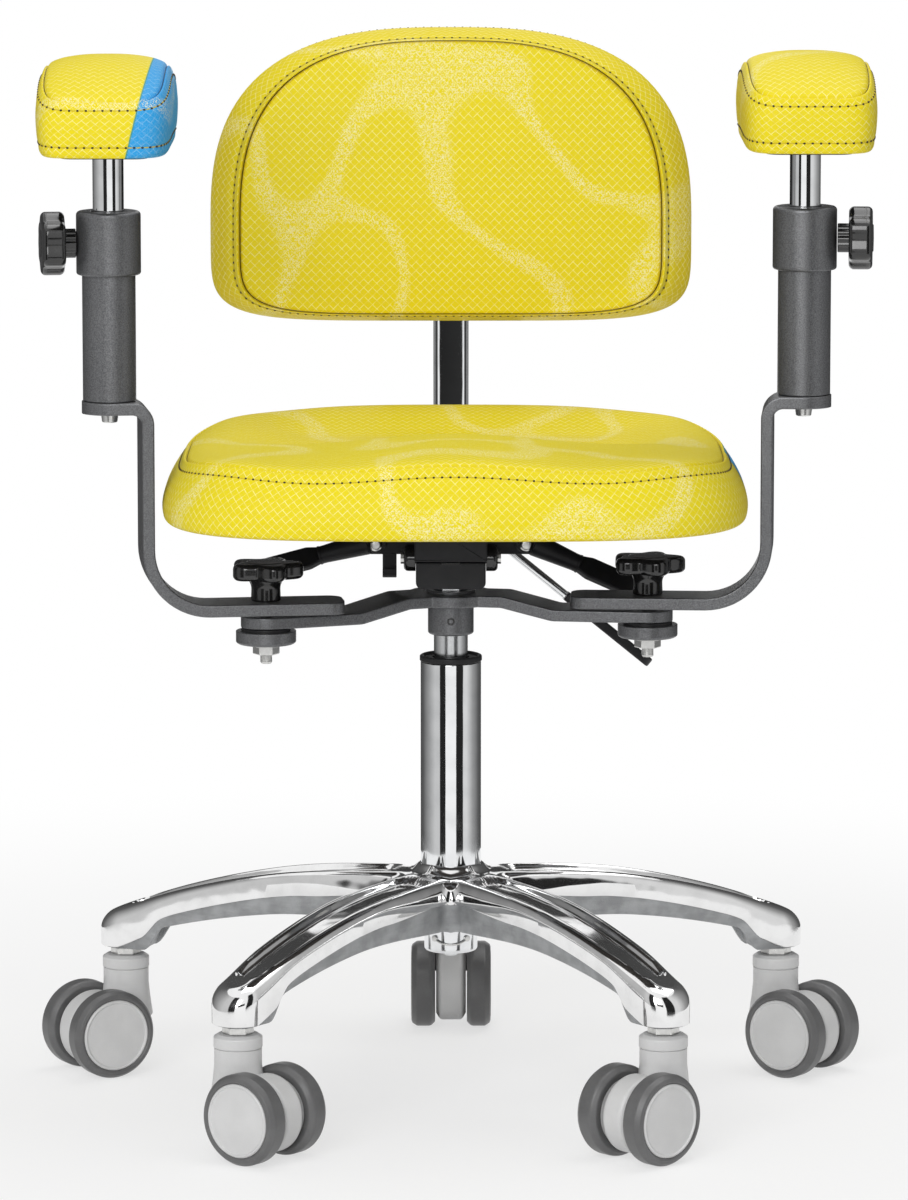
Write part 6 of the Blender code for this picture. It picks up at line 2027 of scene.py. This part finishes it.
@dataclass
class BackSupport:
    """The bent chrome bar, the bracket that slides on it and the boards of seat and back."""

    hinge: Pair = (0.102, 0.4699)
    pin_room: float = 0.006
    half: float = 0.015
    thick: float = 0.008
    upright: float = 0.252
    bend_r: float = 0.034
    top: float = 0.8089
    edge: float = 0.003
    ends: Pair = (0.002, 0.008)
    pin_r: float = 0.0041
    eye_r: float = 0.01
    slide_room: float = 0.0004
    seat_board_room: float = 0.0005
    back_board_inset: float = 0.014

    def build(self, seat: SeatCover, back: BackCover) -> None:
        """Makes the bar, the bracket and both boards.

        Args:
            seat: the cover whose outline the seat board follows.
            back: the cover whose outline the back board follows.
        """
        y, z = self.hinge
        corners = [(y + self.pin_room, z, 0), (self.upright, z, self.bend_r), (self.upright, self.top, 0)]
        bar = bent_bar(corners, self.half, self.thick, self.edge, self.ends, 0.0, 0.004, REAR, RIGHT)
        eye = washer(self.pin_r, self.eye_r, -self.half, self.half, (0.0004, 0.0008, 0.0008, 0.0004), 56)
        eye = eye.moved(aim((0.0, y, z), RIGHT))
        piece("back_strap", bar + eye, [CHROME], "back_bar", ["back_bar"])
        low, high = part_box("back_bracket")
        inner = self.half + self.slide_room
        near = self.upright - self.thick / 2 - self.slide_room
        far = self.upright + self.thick / 2 + self.slide_room
        walls = block((low.x, low.y, low.z), (high.x, near, high.z), 0.001)
        walls = walls + block((low.x, far, low.z), (high.x, high.y, high.z), 0.0018)
        for x0, x1 in ((low.x, -inner), (inner, high.x)):
            walls = walls + block((x0, near - 0.001, low.z), (x1, far + 0.001, high.z), 0.0008)
        piece("back_slide", walls, [PLASTIC], "backrest", ["back_bracket"])
        low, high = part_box("seat_board")
        outline = seat.outline(seat.board_inset + self.seat_board_room) + np.array(seat.middle[:2])
        piece("seat_panel", prism(outline, low.z, high.z, 0.0012), [PLY], "seat", ["seat_board"])
        low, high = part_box("back_board")
        flat = back.outline(0.0)
        flat = flat * (1 - self.back_board_inset / np.linalg.norm(flat, axis=1, keepdims=True))
        shape = prism(flat, 0.0, high.y - low.y, 0.0022, 5)
        shape = shape.moved(stand_up(high.y, back.wide_z))
        piece("back_panel", shape, [PLASTIC], "backrest", ["back_board"])


# Studio


@dataclass(frozen=True)
class Card:
    """A graded card by the chair that only reflections show.

    grade holds degrees to the right of the camera's side, or x on a flat card, each with its brightness.
    edges holds the heights of its lower and upper edges, and flat_y the place of a flat card.
    """

    name: str
    edges: Pair
    grade: Grade
    flat_y: float | None = None


CARDS = (
    Card("card_left", (0.0, 1.5), ((-165, 0.05), (-125, 0.12), (-90, 0.36), (-62, 0.62), (-42.5, 0.62),
                                   (-41, 0.02), (-20, 0.02))),
    Card("card_right", (0.0, 1.5), ((20, 0.02), (46, 0.02), (47.5, 0.75), (62, 0.75), (90, 0.36),
                                    (125, 0.12), (165, 0.05))),
    Card("card_low", (0.27, 0.45), ((-12, 0.03), (12, 0.03))),
    Card("card_rear", (0.47, 0.8), ((150, 0.05), (210, 0.05))),
    Card("card_bar", (0.5, 0.625), ((-0.06, 0.06), (-0.0135, 0.06), (-0.0125, 0.95), (-0.0102, 0.95),
                                     (-0.0096, 0.02), (0.0096, 0.03), (0.0102, 0.95), (0.0125, 0.95),
                                     (0.0135, 0.06), (0.06, 0.06)), 0.2195),
)


@dataclass
class Studio:
    """The pale floor, the soft lamps, the graded cards that metal reflects, and the camera."""

    eye: Triple = (0.0026, -5.5, 1.23)
    tilt_deg: float = 8.462
    lens_mm: float = 203.01
    floor_half: float = 40.0
    floor_glow: float = 0.64
    ambient: float = 0.34
    view_far: float = 200.0
    lamp_aim: Triple = (0.0, 0.0, 0.45)
    front_w: float = 122.0
    top_w: float = 44.0
    card_r: float = 1.1

    def camera(self) -> None:
        """Stands the camera at the photograph's angle."""
        data = bpy.data.cameras.new("studio_camera")
        data.lens = self.lens_mm
        data.clip_end = self.view_far
        made = linked("studio_camera", data)
        made.location = self.eye
        made.rotation_euler = (math.pi / 2 - math.radians(self.tilt_deg), 0.0, 0.0)
        bpy.context.scene.camera = made

    def seen(self, graph: Graph) -> Sock:
        """1 for rays that show the surroundings as they are, else 0."""
        rays = [graph.node("ShaderNodeLightPath", out=name) for name in SEEN_RAYS]
        return rays[0].most(rays[1]).most(rays[2])

    def floor(self) -> None:
        """Lays the floor; part of its white is its own, and all of it far from the chair."""
        material = bpy.data.materials.new("pale_floor")
        material.use_nodes = True
        graph = Graph(material.node_tree)
        matte = graph.node("ShaderNodeBsdfDiffuse", {}, {"Color": (0.95, 0.95, 0.95)})
        glow = graph.node("ShaderNodeEmission", {}, {"Color": (1.0, 1.0, 1.0), "Strength": 1.0})
        far = graph.node("ShaderNodeVectorMath", {"operation": "LENGTH"}, {0: graph.place()}, "Value")
        share = self.seen(graph) * (far.ease(0.45, 1.5) * (1.0 - self.floor_glow) + self.floor_glow)
        both = graph.node("ShaderNodeMixShader", {}, {0: share, 1: matte, 2: glow})
        graph.node("ShaderNodeOutputMaterial", {}, {"Surface": both})
        half = self.floor_half
        mesh = bpy.data.meshes.new("floor")
        corners = [(-half, -half, 0), (half, -half, 0), (half, half, 0), (-half, half, 0)]
        mesh.from_pydata(corners, [], [(0, 1, 2, 3)])
        mesh.materials.append(material)
        linked("floor", mesh)

    def card(self, card: Card) -> None:
        """Stands a card by the chair.

        Args:
            card: its sizes and brightness.
        """
        material = bpy.data.materials.new(card.name)
        material.use_nodes = True
        graph = Graph(material.node_tree)
        tone = graph.mix(graph.attribute("level"), (0.0, 0.0, 0.0), (1.0, 1.0, 1.0))
        glow = graph.node("ShaderNodeEmission", {}, {"Color": tone, "Strength": 1.0})
        graph.node("ShaderNodeOutputMaterial", {}, {"Surface": glow})
        degrees, levels = np.array(card.grade).T
        steps = np.linspace(degrees[0], degrees[-1], 220)
        angle = np.radians(steps)
        rows = np.zeros((2, len(steps), 3))
        rows[..., 0] = self.card_r * np.sin(angle) if card.flat_y is None else steps
        rows[..., 1] = -self.card_r * np.cos(angle) if card.flat_y is None else card.flat_y
        rows[..., 2] = np.array(card.edges)[:, None]
        shape = grid(rows, ring=False)
        mesh = bpy.data.meshes.new(card.name)
        mesh.from_pydata([tuple(p) for p in shape.points], [], shape.faces)
        level = mesh.attributes.new("level", "FLOAT", "POINT")
        level.data.foreach_set("value", np.tile(np.interp(steps, degrees, levels), 2).astype(np.float32))
        mesh.materials.append(material)
        made = linked(card.name, mesh)
        made.visible_camera = made.visible_diffuse = made.visible_shadow = made.visible_transmission = False

    def lamp(self, name: str, spot: Sequence[float], size: float, watts: float) -> None:
        """Hangs a soft square lamp aimed at the chair.

        Args:
            name: its name.
            spot: its place.
            size: its side.
            watts: its power.
        """
        data = bpy.data.lights.new(name, "AREA")
        data.shape = "SQUARE"
        data.size = size
        data.energy = watts
        linked(name, data).matrix_world = aim(spot, Vector(spot) - Vector(self.lamp_aim))

    def world(self) -> None:
        """Surrounds the scene with soft white."""
        world = bpy.data.worlds.new("studio")
        world.use_nodes = True
        bpy.context.scene.world = world
        graph = Graph(world.node_tree)
        level = self.seen(graph) * (1.0 - self.ambient) + self.ambient
        white = graph.node("ShaderNodeBackground", {}, {"Color": (1.0, 1.0, 1.0), "Strength": level})
        graph.node("ShaderNodeOutputWorld", {}, {"Surface": white})

    def build(self) -> None:
        """Sets up the studio."""
        bpy.context.scene.view_settings.view_transform = "Standard"
        self.camera()
        self.world()
        self.lamp("front", (-1.2, -4.2, 2.4), 3.0, self.front_w)
        self.lamp("top", (0.6, 0.4, 3.6), 2.6, self.top_w)
        self.floor()
        for card in CARDS:
            self.card(card)


# Order of work


def dress_rest() -> None:
    """Gives the inner CAD nodes that stay as they are a worked finish."""
    inner = {"tilt_axle": ZINC, "back_hinge_pin": ZINC, "release_pin": ZINC, "piston_rod": STEEL,
             "thrust_bearing": STEEL}
    for name, finish in inner.items():
        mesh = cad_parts[name].data
        mesh.materials.clear()
        mesh.materials.append(finish.material())


def main() -> None:
    """Builds the studio and the chair, piece by piece."""
    logging.basicConfig(level=logging.INFO, format="%(name)s: %(message)s")
    Studio().build()
    dress_rest()
    repeat = Repeat()
    StarBase().build()
    for number in range(1, 6):
        Caster(number).build()
    Column().build()
    bar = Crossbar()
    bar.build()
    for side, pivot, heading in zip(("left", "right"), bar.pivots, (188.0, -4.0)):
        arm = ArmRest(side, pivot, heading)
        arm.build_bar()
        arm.build_clamp(repeat)
        arm.build_rise()
        PadCover(f"pad_cover_{side}", f"pad_{side}", f"arm_pad_{side}").build(repeat)
    Mechanism().build()
    Levers().build()
    seat = SeatCover("seat_cover", "seat", "seat_cushion")
    seat.build(repeat, 5, 80)
    back = BackCover("back_cover", "backrest", "back_cushion")
    back.build(repeat)
    BackSupport().build(seat, back)


if __name__ == "__main__":
    main()
